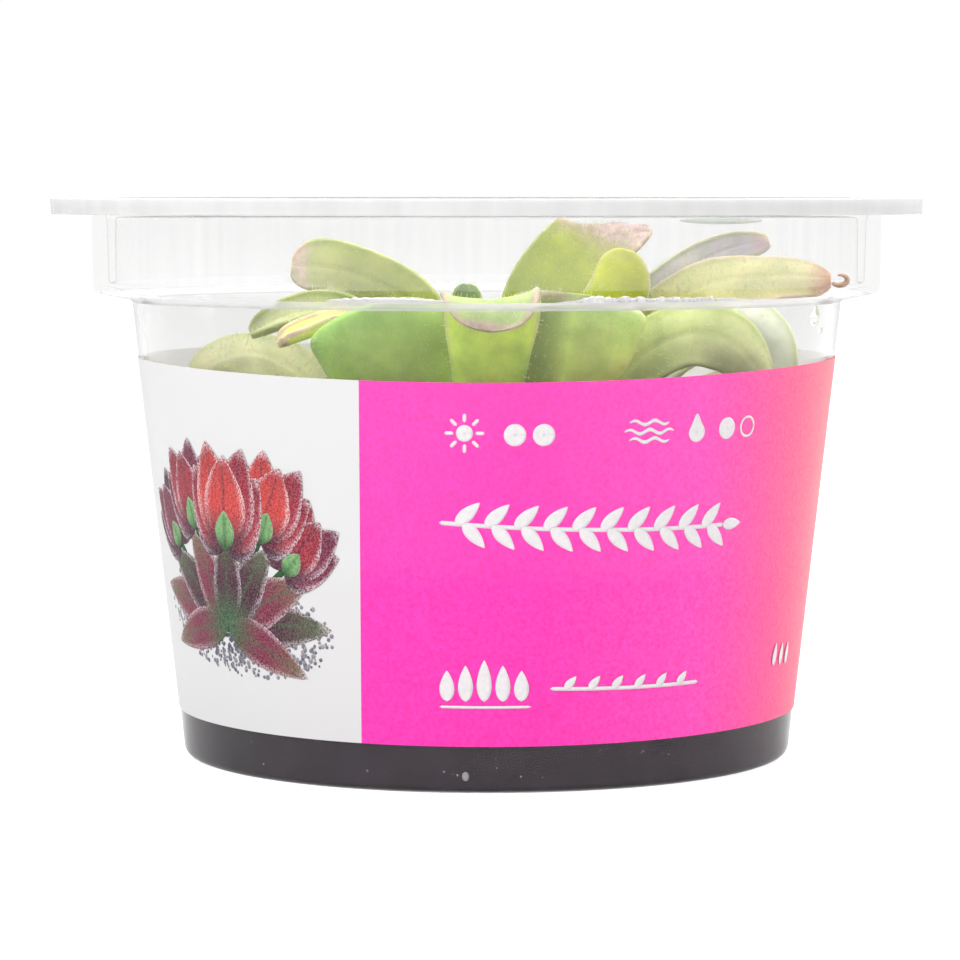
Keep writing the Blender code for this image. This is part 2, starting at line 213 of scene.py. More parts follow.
def store_uv(mesh, places):
    """A UV map from a place for each point."""
    corners = [places[corner.vertex_index] for corner in mesh.loops]
    mesh.uv_layers.new(name="UVMap").data.foreach_set("uv", np.asarray(corners, np.float32).ravel())


def ring_faces(rings, size):
    """Faces of a closed body whose points come ring by ring, with a flat face at each end."""
    last = size * (rings - 1)
    faces = [tuple(reversed(range(size))), tuple(range(last, last + size))]
    for low in range(0, last, size):
        high = low + size
        for step in range(size):
            after = (step + 1) % size
            faces.append((low + step, low + after, high + after, high + step))
    return faces


def rim_pairs(columns, rows):
    """Neighbouring points round the rim of a grid that is numbered column by column."""
    step = rows + 1
    rim = [column * step for column in range(columns + 1)]
    rim += [columns * step + row for row in range(1, rows + 1)]
    rim += [column * step + rows for column in range(columns - 1, -1, -1)]
    rim += range(rows - 1, 0, -1)
    return zip(rim, rim[1:] + rim[:1])


def smooth_step(low, high, value):
    share = min(1.0, max(0.0, (value - low) / (high - low)))
    return share * share * (3 - 2 * share)


def mixed(one, two, share):
    return tuple(a + (b - a) * share for a, b in zip(one, two))


# Materials

def principled(name, colour, roughness, **sockets):
    """A material on one Principled shader. Even values are set on the shader's own sockets."""
    material = bpy.data.materials.new(name)
    material.use_nodes = True
    tree = material.node_tree
    shader = tree.nodes["Principled BSDF"]
    shader.inputs["Base Color"].default_value = (*colour, 1)
    shader.inputs["Roughness"].default_value = roughness
    for key, value in sockets.items():
        shader.inputs[key.replace("_", " ")].default_value = value
    return material, tree, shader


def paint(tree, shader, colour):
    tree.links.new(colour, shader.inputs["Base Color"])


def noise(tree, coordinates, scale, detail=3.0, roughness=0.5):
    feeds = {"Vector": coordinates, "Scale": scale, "Detail": detail, "Roughness": roughness}
    return add(tree, "ShaderNodeTexNoise", feeds).outputs["Fac"]


def ramp(tree, factor, stops):
    """A colour ramp. Each stop is (place, colour)."""
    made = add(tree, "ShaderNodeValToRGB", {"Fac": factor})
    elements = made.color_ramp.elements
    while len(elements) < len(stops):
        elements.new(0.5)
    for element, (place, colour) in zip(elements, stops):
        element.position = place
        element.color = (*colour, 1)
    return made.outputs["Color"]


def mix_colour(tree, factor, one, two, blend="MIX"):
    made = add(tree, "ShaderNodeMix", data_type="RGBA", blend_type=blend)
    for index, value in ((0, factor), (6, one), (7, two)):
        feed(tree, made.inputs[index], value)
    return made.outputs[2]


def bump(tree, shader, height, strength, distance):
    made = add(tree, "ShaderNodeBump", {"Height": height, "Strength": strength, "Distance": distance})
    tree.links.new(made.outputs["Normal"], shader.inputs["Normal"])


def object_place(tree):
    return tree.nodes.new("ShaderNodeTexCoord").outputs["Object"]


def stretched(tree, scale):
    """Object coordinates stretched by a scale for each axis."""
    return add(tree, "ShaderNodeMapping", {"Vector": object_place(tree), "Scale": scale}).outputs[0]


def clear_plastic():
    return principled(
        "clear_polypropylene", (0.99, 0.99, 0.99), 0.08, Transmission_Weight=0.985, IOR=1.06,
        Coat_Weight=1.0, Coat_IOR=1.12, Coat_Roughness=0.1,
    )[0]


def thin_plastic(name):
    """Plastic thin enough to bend no light."""
    return principled(name, (1, 1, 1), 0.05, Transmission_Weight=0.99, IOR=NO_BEND)[0]


def milky_plastic():
    material, tree, shader = principled(
        "milky_lid_plastic", (0.97, 0.97, 0.97), 0.18, Transmission_Weight=0.95, IOR=NO_BEND,
    )
    streaks = noise(tree, stretched(tree, (900, 900, 14)), 1.0, 2)
    tint = ramp(tree, streaks, [(0.35, (0.965, 0.965, 0.97)), (0.65, (0.995, 0.995, 0.995))])
    paint(tree, shader, tint)
    return material


def hazy_painted_plastic(name, shade, clear):
    """Greyer plastic that lets less light through, at a thick ledge or rim: some haze, with painted shade
    and light for how thick plastic looks there, as this plastic bends no light.
    """
    material, tree, shader = principled(
        name, (shade, shade, shade), 0.2, Transmission_Weight=clear, IOR=NO_BEND,
    )
    streaks = noise(tree, stretched(tree, (500, 500, 60)), 1.0, 3)
    low, high = shade * 0.96, min(1, shade * 1.03)
    tint = ramp(tree, streaks, [(0.35, (low, low, low)), (0.65, (high, high, high))])
    paint(tree, shader, tint)
    return material


def gel_material():
    material, tree, shader = principled("charcoal_gel", (0.02, 0.015, 0.02), 0.3, Specular_IOR_Level=0.32)
    place = object_place(tree)
    clouds = noise(tree, place, 260, 4)
    dark = ramp(tree, clouds, [(0.3, (0.014, 0.009, 0.014)), (0.7, (0.026, 0.018, 0.026))])
    specks = noise(tree, place, 2600, 1)
    speck_share = ramp(tree, specks, [(0.7, (0, 0, 0)), (0.76, (1, 1, 1))])
    paint(tree, shader, mix_colour(tree, speck_share, dark, (0.09, 0.08, 0.09, 1)))
    bump(tree, shader, noise(tree, place, 900, 3), 0.2, 0.0001)
    return material


def leaf_material():
    """Reads the leaf's colour, with painted shade and light in it, and its blush, and adds mottling and a
    fine grain.
    """
    material, tree, shader = principled(
        "butterwort_leaf", (0.4, 0.5, 0.12), 0.55, Subsurface_Weight=0.7, Subsurface_Scale=0.0014,
        Specular_IOR_Level=0.25,
    )
    shader.inputs["Subsurface Radius"].default_value = (0.8, 1.0, 0.2)
    flesh = add(tree, "ShaderNodeAttribute", attribute_name="flesh").outputs["Color"]
    blush = add(tree, "ShaderNodeAttribute", attribute_name="blush").outputs["Fac"]
    place = object_place(tree)
    mottle = noise(tree, place, 330, 4, 0.55)
    shade = ramp(tree, mottle, [(0.3, (0.74, 0.78, 0.72)), (0.72, (1.12, 1.08, 1.1))])
    colour = mix_colour(tree, 1.0, flesh, shade, "MULTIPLY")
    patchy = ramp(tree, noise(tree, place, 520, 4, 0.6), [(0.34, (0.35, 0.35, 0.35)), (0.6, (1, 1, 1))])
    pink_share = math_node(tree, "MULTIPLY", blush, patchy)
    pink = ramp(tree, noise(tree, place, 900, 2), [(0.35, (0.48, 0.3, 0.34)), (0.7, (0.7, 0.52, 0.5))])
    paint(tree, shader, mix_colour(tree, pink_share, colour, pink))
    bump(tree, shader, noise(tree, place, 2400, 3, 0.6), 0.3, 0.00012)
    return material


def gland_material():
    return principled("gland_hairs", (0.72, 0.78, 0.44), 0.4, Transmission_Weight=0.4, IOR=1.3)[0]


def water_material():
    return principled("water_film", (1, 1, 1), 0.02, Transmission_Weight=1.0, IOR=1.33)[0]


def froth_and_painted_light_material():
    material, tree, shader = principled(
        "gel_froth_and_painted_light", (0.93, 0.93, 0.93), 0.25, Transmission_Weight=0.3, IOR=1.08,
    )
    bump(tree, shader, noise(tree, object_place(tree), 2200, 3), 0.5, 0.0002)
    return material


def film_material():
    """Label film: a white panel, then pink that warms towards coral. Reads the flat sheet's UV."""
    material, tree, shader = principled("label_film_front", (0.9, 0.9, 0.9), 0.36, Specular_IOR_Level=0.3)
    sheet = add(tree, "ShaderNodeSeparateXYZ", {0: tree.nodes.new("ShaderNodeUVMap").outputs[0]})
    pink = ramp(tree, sheet.outputs["X"], [
        (0.0, (0.82, 0.022, 0.345)),
        (sheet_u(6), (0.82, 0.025, 0.355)),
        (sheet_u(25), (0.88, 0.052, 0.4)),
        (sheet_u(36), (0.86, 0.062, 0.26)),
        (sheet_u(42), (0.83, 0.072, 0.205)),
        (sheet_u(52), (0.8, 0.1, 0.16)),
        (sheet_u(80), (0.78, 0.17, 0.15)),
    ])
    fibre = noise(tree, object_place(tree), 2400, 4, 0.7)
    weave = ramp(tree, fibre, [(0.36, (0.86, 0.56, 0.82)), (0.62, (1.05, 1.5, 1.14))])
    is_pink = math_node(tree, "GREATER_THAN", sheet.outputs["X"], sheet_u(PANEL_EDGE))
    grained = mix_colour(tree, 1.0, pink, weave, "MULTIPLY")
    paint(tree, shader, mix_colour(tree, is_pink, (0.56, 0.555, 0.56, 1), grained))
    bump(tree, shader, fibre, 0.12, 0.00006)
    let_through(tree, shader, (1, 1, 1, 1), FRONT_LIGHT)
    return material


def bare_film_material(name, light_share):
    """Label film without print, as on its back panel and its reverse."""
    material, tree, shader = principled(name, (0.9, 0.9, 0.9), 0.5)
    weave = noise(tree, object_place(tree), 1500, 4, 0.7)
    white = ramp(tree, weave, [(0.3, (0.83, 0.82, 0.8)), (0.7, (0.9, 0.89, 0.87))])
    paint(tree, shader, white)
    let_through(tree, shader, white, light_share)
    return material


def let_through(tree, shader, colour, share):
    """Lets a share of the light through a thin film."""
    soft = add(tree, "ShaderNodeBsdfTranslucent", {"Color": colour})
    both = add(tree, "ShaderNodeMixShader", {0: share, 1: shader.outputs[0], 2: soft.outputs[0]})
    tree.links.new(both.outputs[0], tree.nodes["Material Output"].inputs["Surface"])


def ink_material():
    """Reads the print's own colour and, as its alpha, how much of it is covered by a fine white frost."""
    material, tree, shader = principled("label_ink", (0.9, 0.9, 0.9), 0.5, Specular_IOR_Level=0.12)
    ink = add(tree, "ShaderNodeAttribute", attribute_name="ink")
    place = object_place(tree)
    fibre = noise(tree, place, 2600, 4, 0.75)
    grain = ramp(tree, fibre, [(0.3, (0.4, 0.36, 0.4)), (0.72, (0.95, 0.95, 0.95))])
    colour = mix_colour(tree, 1.0, ink.outputs["Color"], grain, "MULTIPLY")
    sparkle = noise(tree, place, 5200, 2, 0.6)
    crystals = ramp(tree, sparkle, [(0.42, (0.1, 0.1, 0.1)), (0.58, (1, 1, 1))])
    frost = math_node(tree, "MULTIPLY", ink.outputs["Alpha"], crystals)
    paint(tree, shader, mix_colour(tree, frost, colour, (0.62, 0.54, 0.58, 1)))
    return material


def white_ink_material():
    material, tree, shader = principled("white_ink", (0.62, 0.6, 0.61), 0.4)
    grain = noise(tree, object_place(tree), 1800, 3)
    paint(tree, shader, ramp(tree, grain, [(0.3, (0.54, 0.515, 0.53)), (0.7, (0.6, 0.575, 0.59))]))
    return material


def crown_material():
    material, tree, shader = principled(
        "crown_flesh", (0.5, 0.56, 0.24), 0.45, Subsurface_Weight=0.25, Subsurface_Scale=0.002,
    )
    mottle = noise(tree, object_place(tree), 500, 4)
    paint(tree, shader, ramp(tree, mottle, [(0.3, (0.36, 0.4, 0.15)), (0.7, (0.6, 0.62, 0.33))]))
    bump(tree, shader, mottle, 0.4, 0.0003)
    return material


# Turned pieces

def filleted(corners):
    """A profile with round corners. Each corner is (radius, height, fillet)."""
    points = []
    count = len(corners)
    for index, (radius, height, fillet) in enumerate(corners):
        here = Vector((radius, height))
        if fillet == 0 or index in (0, count - 1):
            points.append(here)
            continue
        before = Vector(corners[index - 1][:2]) - here
        after = Vector(corners[index + 1][:2]) - here
        half = 0.5 * before.angle(after)
        cut = min(fillet / math.tan(half), 0.49 * before.length, 0.49 * after.length)
        start = here + before.normalized() * cut
        end = here + after.normalized() * cut
        for step in range(FILLET_STEPS + 1):
            share = step / FILLET_STEPS
            points.append(start.lerp(here, share).lerp(here.lerp(end, share), share))
    return points


def turned_tree():
    """Turns a profile in the XZ plane about the Z axis on a grid, and welds its seam and poles."""
    tree, given = geometry_tree("turned", [
        ("Segments", "NodeSocketInt", TURNED_SEGMENTS),
        ("Sharp Angle", "NodeSocketFloat", 0.7),
        ("Finish", "NodeSocketMaterial", None),
    ])
    counted = add(tree, "GeometryNodeAttributeDomainSize", {"Geometry": given["Geometry"]})
    rows = math_node(tree, "ADD", given["Segments"], 1.0)
    grid = add(
        tree, "GeometryNodeMeshGrid",
        {"Vertices X": counted.outputs["Point Count"], "Vertices Y": rows},
    )
    index = tree.nodes.new("GeometryNodeInputIndex").outputs[0]
    column = math_node(tree, "FLOOR", math_node(tree, "DIVIDE", math_node(tree, "ADD", index, 0.5), rows))
    row = math_node(tree, "SUBTRACT", index, math_node(tree, "MULTIPLY", column, rows))
    place = tree.nodes.new("GeometryNodeInputPosition").outputs[0]
    sample = add(
        tree, "GeometryNodeSampleIndex",
        {"Geometry": given["Geometry"], "Value": place, "Index": column},
        data_type="FLOAT_VECTOR", domain="POINT",
    )
    profile = add(tree, "ShaderNodeSeparateXYZ", {0: sample.outputs[0]})
    share = math_node(tree, "DIVIDE", row, given["Segments"])
    turn = math_node(tree, "MULTIPLY", share, 2 * pi)
    x = math_node(tree, "MULTIPLY", profile.outputs["X"], math_node(tree, "COSINE", turn))
    y = math_node(tree, "MULTIPLY", profile.outputs["X"], math_node(tree, "SINE", turn))
    spot = add(tree, "ShaderNodeCombineXYZ", {0: x, 1: y, 2: profile.outputs["Z"]})
    bent = add(
        tree, "GeometryNodeSetPosition",
        {"Geometry": grid.outputs["Mesh"], "Position": spot.outputs[0]},
    )
    welded = add(tree, "GeometryNodeMergeByDistance", {"Geometry": bent.outputs[0], "Distance": 1e-7})
    smooth = add(tree, "GeometryNodeSetShadeSmooth", {"Geometry": welded.outputs[0]}, domain="FACE")
    corner = tree.nodes.new("GeometryNodeInputMeshEdgeAngle").outputs["Unsigned Angle"]
    sharp = add(
        tree, "FunctionNodeCompare", {0: corner, 1: given["Sharp Angle"]}, operation="GREATER_THAN",
    )
    creased = add(
        tree, "GeometryNodeSetShadeSmooth",
        {"Geometry": smooth.outputs[0], "Selection": sharp.outputs[0], "Shade Smooth": False},
        domain="EDGE",
    )
    end_tree(tree, creased.outputs[0], given["Finish"])
    return tree


def turned(name, corners, material):
    source = mesh_from(name + "_profile", [(point.x, 0, point.y) for point in filleted(corners)], [])
    piece = grown(name, source, TURNED, {"Finish": material, "Segments": TURNED_SEGMENTS})
    return faces_out(piece)


def wall_radius(height):
    """The cup's outer radius on the taper."""
    share = (height - FOOT_HEIGHT) / (SHOULDER_HEIGHT - FOOT_HEIGHT)
    return FOOT_RADIUS + share * (SHOULDER_RADIUS - FOOT_RADIUS)


def refinish(piece, material, chosen):
    """Gives another finish to the faces that are chosen by (radius, height, depth, upward share)."""
    mesh = piece.data
    mesh.materials.append(material)
    for face in mesh.polygons:
        x, y, height = face.center
        if chosen(math.hypot(x, y), height, y, face.normal.z):
            face.material_index = len(mesh.materials) - 1


def make_cup():
    inner_collar = COLLAR_RADIUS - WALL
    outer_shoulder = SHOULDER_RADIUS + SWELL
    inner_shoulder = outer_shoulder - WALL
    outer_foot = FOOT_RADIUS + SWELL
    inner_foot = outer_foot - WALL
    corners = [
        (0, 0, 0),
        (outer_foot - 2 * TAPER * MM, 0, 1.3 * MM),
        (outer_shoulder, SHOULDER_HEIGHT, 0.35 * MM),
        (COLLAR_RADIUS - COLLAR_DRAFT, COLLAR_FOOT - 0.3 * MM, 1 * MM),
        (COLLAR_RADIUS, FLANGE_BOTTOM, 0.25 * MM),
        (FLANGE_RADIUS, FLANGE_BOTTOM, 0.12 * MM),
        (FLANGE_RADIUS, FLANGE_BOTTOM + WALL, 0.12 * MM),
        (inner_collar, FLANGE_BOTTOM + WALL, 0.4 * MM),
        (inner_collar - COLLAR_DRAFT, INNER_COLLAR_FOOT, 0.9 * MM),
        (inner_shoulder, INNER_SHOULDER_HEIGHT, 0.3 * MM),
        (inner_foot - 2 * TAPER * MM, WALL, 1 * MM),
        (0, WALL, 0),
    ]
    cup = turned("clear_cup", corners, clear_plastic())
    refinish(
        cup, thin_plastic("thin_collar"),
        lambda radius, height, depth, rise: height > COLLAR_FOOT,
    )
    refinish(
        cup, thin_plastic("thin_ledge"),
        lambda radius, height, depth, rise: (
            radius > inner_shoulder and SHOULDER_HEIGHT - 0.3 * MM < height < COLLAR_FOOT + MM
        ),
    )
    # Painted light, with some haze: the ledge's underside is whiter and less clear, for the bright band that
    # the ledge shows.
    refinish(
        cup, hazy_painted_plastic("ledge_underside_painted_light", 0.9, 0.55),
        lambda radius, height, depth, rise: (
            rise < -0.25 and inner_shoulder < radius < COLLAR_RADIUS - 1.2 * MM and height > SHOULDER_HEIGHT
        ),
    )
    # Painted shade: a grey line round the shoulder's outer corner, on the front half only, for the dark line
    # that bent light draws there.
    refinish(
        cup, hazy_painted_plastic("ledge_corner_painted_shade", 0.62, 0.35),
        lambda radius, height, depth, rise: (
            depth < 0
            and abs(radius - outer_shoulder) < 0.25 * MM
            and abs(height - SHOULDER_HEIGHT) < 0.25 * MM
        ),
    )
    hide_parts("cup")
    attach(cup, "root")


def make_lid():
    panel_top = PANEL_BOTTOM + PANEL_THICKNESS
    plug_inner = PLUG_RADIUS - WALL
    channel_top = FLANGE_BOTTOM + WALL + CLEARANCE
    skirt_inner = FLANGE_RADIUS + CLEARANCE
    corners = [
        (0, panel_top, 0),
        (plug_inner, panel_top, 0.4 * MM),
        (plug_inner + 0.7 * MM, TOTAL_HEIGHT, 0.4 * MM),
        (LID_RADIUS, TOTAL_HEIGHT, 0.25 * MM),
        (LID_RADIUS - COLLAR_DRAFT, FLANGE_BOTTOM, 0.08 * MM),
        (skirt_inner, FLANGE_BOTTOM, 0.08 * MM),
        (skirt_inner, channel_top, 0.1 * MM),
        (PLUG_RADIUS + 0.8 * MM, channel_top, 0.3 * MM),
        (PLUG_RADIUS + 0.2 * MM, PANEL_BOTTOM - 0.3 * MM, 0.4 * MM),
        (PLUG_RADIUS, PLUG_BOTTOM, 0.35 * MM),
        (plug_inner, PLUG_BOTTOM, 0.35 * MM),
        (plug_inner, PANEL_BOTTOM, 0.5 * MM),
        (0, PANEL_BOTTOM, 0),
    ]
    lid = turned("snap_lid", corners, milky_plastic())
    # Painted shade: the rim is greyer, for the darker band that thick plastic shows there.
    refinish(
        lid, hazy_painted_plastic("lid_rim_painted_shade", 0.68, 0.4),
        lambda radius, height, depth, rise: radius > COLLAR_RADIUS - WALL,
    )
    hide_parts("lid")
    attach(lid, "root")


def make_gel():
    """The gel, drawn just into the cup's wall and floor so that it reads as wetting them."""
    wall_inset = WALL - 0.06 * MM - SWELL
    floor_inset = 0.14 * MM
    rim = wall_radius(GEL_LEVEL + 1 * MM) - wall_inset
    corners = [
        (0, floor_inset, 0),
        (FOOT_RADIUS - wall_inset - 2 * TAPER * MM, floor_inset, 0.9 * MM),
        (rim, GEL_LEVEL + 1 * MM, 0.05 * MM),
        (rim - 1.2 * MM, GEL_LEVEL + 0.15 * MM, 0.8 * MM),
        (rim - 5 * MM, GEL_LEVEL, 0.8 * MM),
        (GEL_HOLE_RADIUS, GEL_LEVEL, 0.3 * MM),
        (GEL_HOLE_RADIUS - 1 * MM, GEL_HOLE_FLOOR, 0.5 * MM),
        (0, GEL_HOLE_FLOOR, 0),
    ]
    gel = turned("culture_gel", corners, gel_material())
    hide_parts("gel")
    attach(gel, "root")


# The label. Its artwork is laid out on the flat sheet, in millimetres from the middle of the front.

TAPER_SINE = sin(math.atan(TAPER))
SHEET_MIDDLE = 25 * MM
SHEET_SPAN = 260
PANEL_EDGE = -13.9


def label_radius(height):
    return wall_radius(height) + LABEL_GAP + LABEL_THICKNESS


SHEET_REACH = label_radius(SHEET_MIDDLE) / TAPER_SINE


def sheet_u(x):
    """The U of a place on the flat sheet, x in millimetres."""
    return 0.5 + x / SHEET_SPAN


def to_sheet(turn, height):
    """Flat-sheet place in millimetres of a point on the label. The turn is from the front, towards +X."""
    reach = label_radius(height) / TAPER_SINE
    swing = turn * TAPER_SINE
    return reach * sin(swing) / MM, (reach * cos(swing) - SHEET_REACH) / MM


def from_sheet(x, y, proud):
    """The point on the label for a flat-sheet place in millimetres, standing proud of the film."""
    side = x * MM
    up = y * MM + SHEET_REACH
    radius = math.hypot(side, up) * TAPER_SINE
    turn = math.atan2(side, up) / TAPER_SINE
    height = FOOT_HEIGHT + (radius - LABEL_GAP - LABEL_THICKNESS - FOOT_RADIUS) / TAPER
    return ((radius + proud) * sin(turn), -(radius + proud) * cos(turn), height)


def label_edges(turn):
    front = max(0.0, cos(turn)) ** 2
    return LABEL_BOTTOM - LABEL_BOTTOM_DIP * front, LABEL_TOP - LABEL_TOP_DIP * front


def make_label():
    columns = 280
    rows = 10
    points = []
    sheet = []
    for column in range(columns + 1):
        turn = radians(LABEL_END) * (2 * column / columns - 1)
        low, high = label_edges(turn)
        for inward in (0, 1):
            for row in range(rows + 1):
                height = low + (high - low) * row / rows
                radius = label_radius(height) - inward * FILM
                points.append((radius * sin(turn), -radius * cos(turn), height))
                x, y = to_sheet(turn, height)
                sheet.append((sheet_u(x), sheet_u(y)))
    across = 2 * (rows + 1)
    loop = list(range(rows + 1)) + list(range(across - 1, rows, -1))
    faces = []
    for column in range(columns):
        start = column * across
        for one, two in zip(loop, loop[1:] + loop[:1]):
            faces.append((start + one, start + across + one, start + across + two, start + two))
    for start in (0, columns * across):
        for row in range(rows):
            here = start + row
            faces.append((here, here + 1, here + rows + 2, here + rows + 1)[:: 1 if start == 0 else -1])
    label = add_mesh("wrap_label", points, faces, film_material())
    refinish(
        label, bare_film_material("label_film_rear", REAR_LIGHT),
        lambda radius, height, depth, rise: depth > 0,
    )
    refinish(
        label, bare_film_material("label_reverse", REVERSE_LIGHT),
        lambda radius, height, depth, rise: radius < label_radius(height) - 0.9 * FILM,
    )
    store_uv(label.data, sheet)
    label.data.set_sharp_from_angle(angle=radians(40))
    faces_out(label)
    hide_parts("label")
    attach(label, "root")


class Print:
    """Flat printed patches gathered in one mesh. Each patch is a thin closed plate on the label."""

    PLATE = 0.0015 * MM
    FIRST = 0.014 * MM
    LAYER = 0.002 * MM

    def __init__(self, name, material):
        self.name = name
        self.material = material
        self.points = []
        self.faces = []
        self.inks = []
        self.layers = 0

    def patch(self, outline, columns, rows, ink=None, new_layer=True):
        """outline(u, v) gives a sheet place and ink(u, v) a colour and frost share, u and v from 0 to 1."""
        start = len(self.points)
        for plate in (0, 1):
            proud = self.FIRST + self.layers * self.LAYER - plate * self.PLATE
            for column in range(columns + 1):
                for row in range(rows + 1):
                    u = column / columns
                    v = row / rows
                    x, y = outline(u, v)
                    self.points.append(from_sheet(x, y, proud))
                    if ink:
                        self.inks.append((*ink(u, v), 0)[:4])
        size = (columns + 1) * (rows + 1)
        step = rows + 1
        for column in range(columns):
            for row in range(rows):
                here = start + column * step + row
                quad = (here, here + step, here + step + 1, here + 1)
                self.faces.append(quad)
                self.faces.append(tuple(corner + size for corner in reversed(quad)))
        for one, two in rim_pairs(columns, rows):
            self.faces.append((start + two, start + one, start + size + one, start + size + two))
        self.layers += new_layer

    def finish(self):
        piece = add_mesh(self.name, self.points, self.faces, self.material)
        if self.inks:
            store(piece.data, "ink", "FLOAT_COLOR", self.inks)
        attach(piece, "root")


def plain(colour):
    return lambda u, v: colour


def disc(x, y, radius, inner=0.0):
    """A disc, or a ring where inner isn't 0."""
    def outline(u, v):
        reach = inner + (radius - inner) * v
        return x + reach * cos(2 * pi * u), y + reach * sin(2 * pi * u)
    return outline


def bar(x1, y1, x2, y2, width):
    """A straight stroke with round ends."""
    length = math.hypot(x2 - x1, y2 - y1)
    dx, dy = (x2 - x1) / length, (y2 - y1) / length

    def outline(u, v):
        place = u * (length + width) - width / 2
        inside = max(0.0, max(-place, place - length))
        half = sqrt(max(0.0, (width / 2) ** 2 - inside**2))
        shift = (2 * v - 1) * max(half, 0.01)
        return x1 + dx * place - dy * shift, y1 + dy * place + dx * shift
    return outline


def petal(x, y, turn, length, width, bend=0.0, point=0.75):
    """A petal or a leaf from (x, y), turned in degrees from +X, with a bend along it."""
    angle = radians(turn)

    def outline(u, v):
        half = 0.5 * width * (sin(pi * u**point) ** 0.8 if 0 < u < 1 else 0.0) + 0.01
        forward = u * length
        sideways = (2 * v - 1) * half + bend * u * u * length
        return (
            x + forward * cos(angle) - sideways * sin(angle),
            y + forward * sin(angle) + sideways * cos(angle),
        )
    return outline


def drop(x, y, radius):
    """A drop with its point up."""
    def outline(u, v):
        angle = 2 * pi * u
        upper = max(0.0, sin(angle))
        reach = radius * v
        return x + reach * cos(angle) * (1 - 0.15 * upper), y + reach * sin(angle) * (1 + 0.85 * upper**5)
    return outline


def make_care_marks():
    """Two rows of care marks: a sun with two dots, and small waves and a drop with a dot and a ring."""
    marks = Print("label_care_marks", white_ink_material())
    sun = (-2.4, 14.3)
    marks.patch(disc(*sun, 0.9), 32, 3)
    for ray in range(8):
        turn = ray * pi / 4
        near, far = [(sun[0] + reach * cos(turn), sun[1] + reach * sin(turn)) for reach in (1.35, 1.95)]
        marks.patch(bar(*near, *far, 0.38), 6, 2)
    marks.patch(disc(2.96, 14.1, 1.2), 40, 4)
    marks.patch(disc(6.05, 14.05, 1.2), 40, 4)
    for row, (start, end) in enumerate(((15.6, 20.4), (15, 21), (15.6, 20.4))):
        lift = 14.9 - 0.95 * row
        marks.patch(wave_stroke(start, end, lift, 0.42), 60, 2)
    marks.patch(drop(24, 13.2, 1.1), 48, 4)
    marks.patch(disc(28.3, 13.15, 1.2), 40, 4)
    marks.patch(disc(31.5, 12.95, 1.2, 0.93), 48, 1)
    marks.finish()


def wave_stroke(start, end, y, width):
    """A level stroke with a gentle wave in it."""
    def outline(u, v):
        x = start + (end - start) * u
        rise = 0.22 * sin(2 * pi * (x - start) / 2.4)
        half = width * (v - 0.5) * sin(pi * min(1, max(0.03, u))) ** 0.3
        return x, y - 0.05 * (x - start) + rise + half
    return outline


def make_sprig():
    """A slim twig with paired leaves, and a short row of leaves and a tapering stroke lower down."""
    sprig = Print("label_sprig", white_ink_material())
    twig = (-4.9, 4.6), (28, 2.5)
    slope = (twig[1][1] - twig[0][1]) / (twig[1][0] - twig[0][0])
    sprig.patch(bar(*twig[0], *twig[1], 0.46), 110, 1)
    for pair in range(10):
        x = -3.4 + 3.15 * pair
        y = twig[0][1] + slope * (x - twig[0][0])
        sprig.patch(petal(x, y, 38, 3.5, 1.45, 0.06), 14, 4)
        sprig.patch(petal(x + 0.8, y, -44, 3.5, 1.45, -0.06), 14, 4)
    sprig.patch(petal(28, 2.5, -3, 2.8, 1.3), 14, 4)
    for index in range(5):
        sprig.patch(petal(-4.3 + 2 * index, -14.9, 90, 4.6 - 0.6 * abs(index - 2), 1.6), 16, 4)
    sprig.patch(bar(-5, -15.5, 4.6, -15.5, 0.3), 30, 1)
    sprig.patch(bar(7, -13.6, 24.6, -14.6, 0.42), 60, 1)
    for index in range(6):
        x = 8.4 + 2.7 * index
        sprig.patch(petal(x, -13.7 - 0.057 * (x - 7), 48, 1.9, 0.9), 10, 3)
    for index in range(3):
        sprig.patch(petal(38.9 + 1.8 * index, -15.6 - 0.3 * index, 76, 2.6, 1), 10, 3)
    sprig.finish()


CRIMSON = (0.36, 0.012, 0.03)
SCARLET = (0.62, 0.04, 0.03)
PLUM = (0.06, 0.006, 0.025)
WINE = (0.2, 0.012, 0.05)
STEM_GREEN = (0.04, 0.12, 0.045)
FRESH_GREEN = (0.2, 0.42, 0.16)
SHADOW_BLUE = (0.07, 0.07, 0.14)
PANEL_WHITE = (0.52, 0.515, 0.52)


def print_shadow(picture, chance):
    """A printed shadow of dots that thin out to its edge."""
    for _ in range(2600):
        turn = chance.uniform(0, 2 * pi)
        far = chance.uniform(0, 1) ** 0.5
        if chance.random() < far**2.2:
            continue
        spot = (-32 + 15.6 * far * cos(turn), -9.4 + 5.8 * far * sin(turn))
        tone = mixed(SHADOW_BLUE, PANEL_WHITE, min(0.8, far * chance.uniform(0.4, 1.1)))
        picture.patch(disc(*spot, chance.uniform(0.14, 0.34)), 7, 1, plain(tone), new_layer=False)
    picture.layers += 1


def shaded(foot, middle, tip, frost):
    """From the foot's colour to the middle's and the tip's, with a frosted edge and a faint mid line."""
    def ink(u, v):
        edge = abs(2 * v - 1)
        colour = mixed(foot, middle, smooth_step(0.0, 0.5, u))
        colour = mixed(colour, tip, smooth_step(0.45, 1.0, u))
        colour = mixed(colour, foot, 0.55 * smooth_step(0.1, 0.0, edge))
        rim = max(smooth_step(0.66, 1.0, edge), smooth_step(0.86, 1.0, u)) * smooth_step(0.1, 0.5, u)
        return (*colour, frost * (0.12 + 0.88 * rim))
    return ink


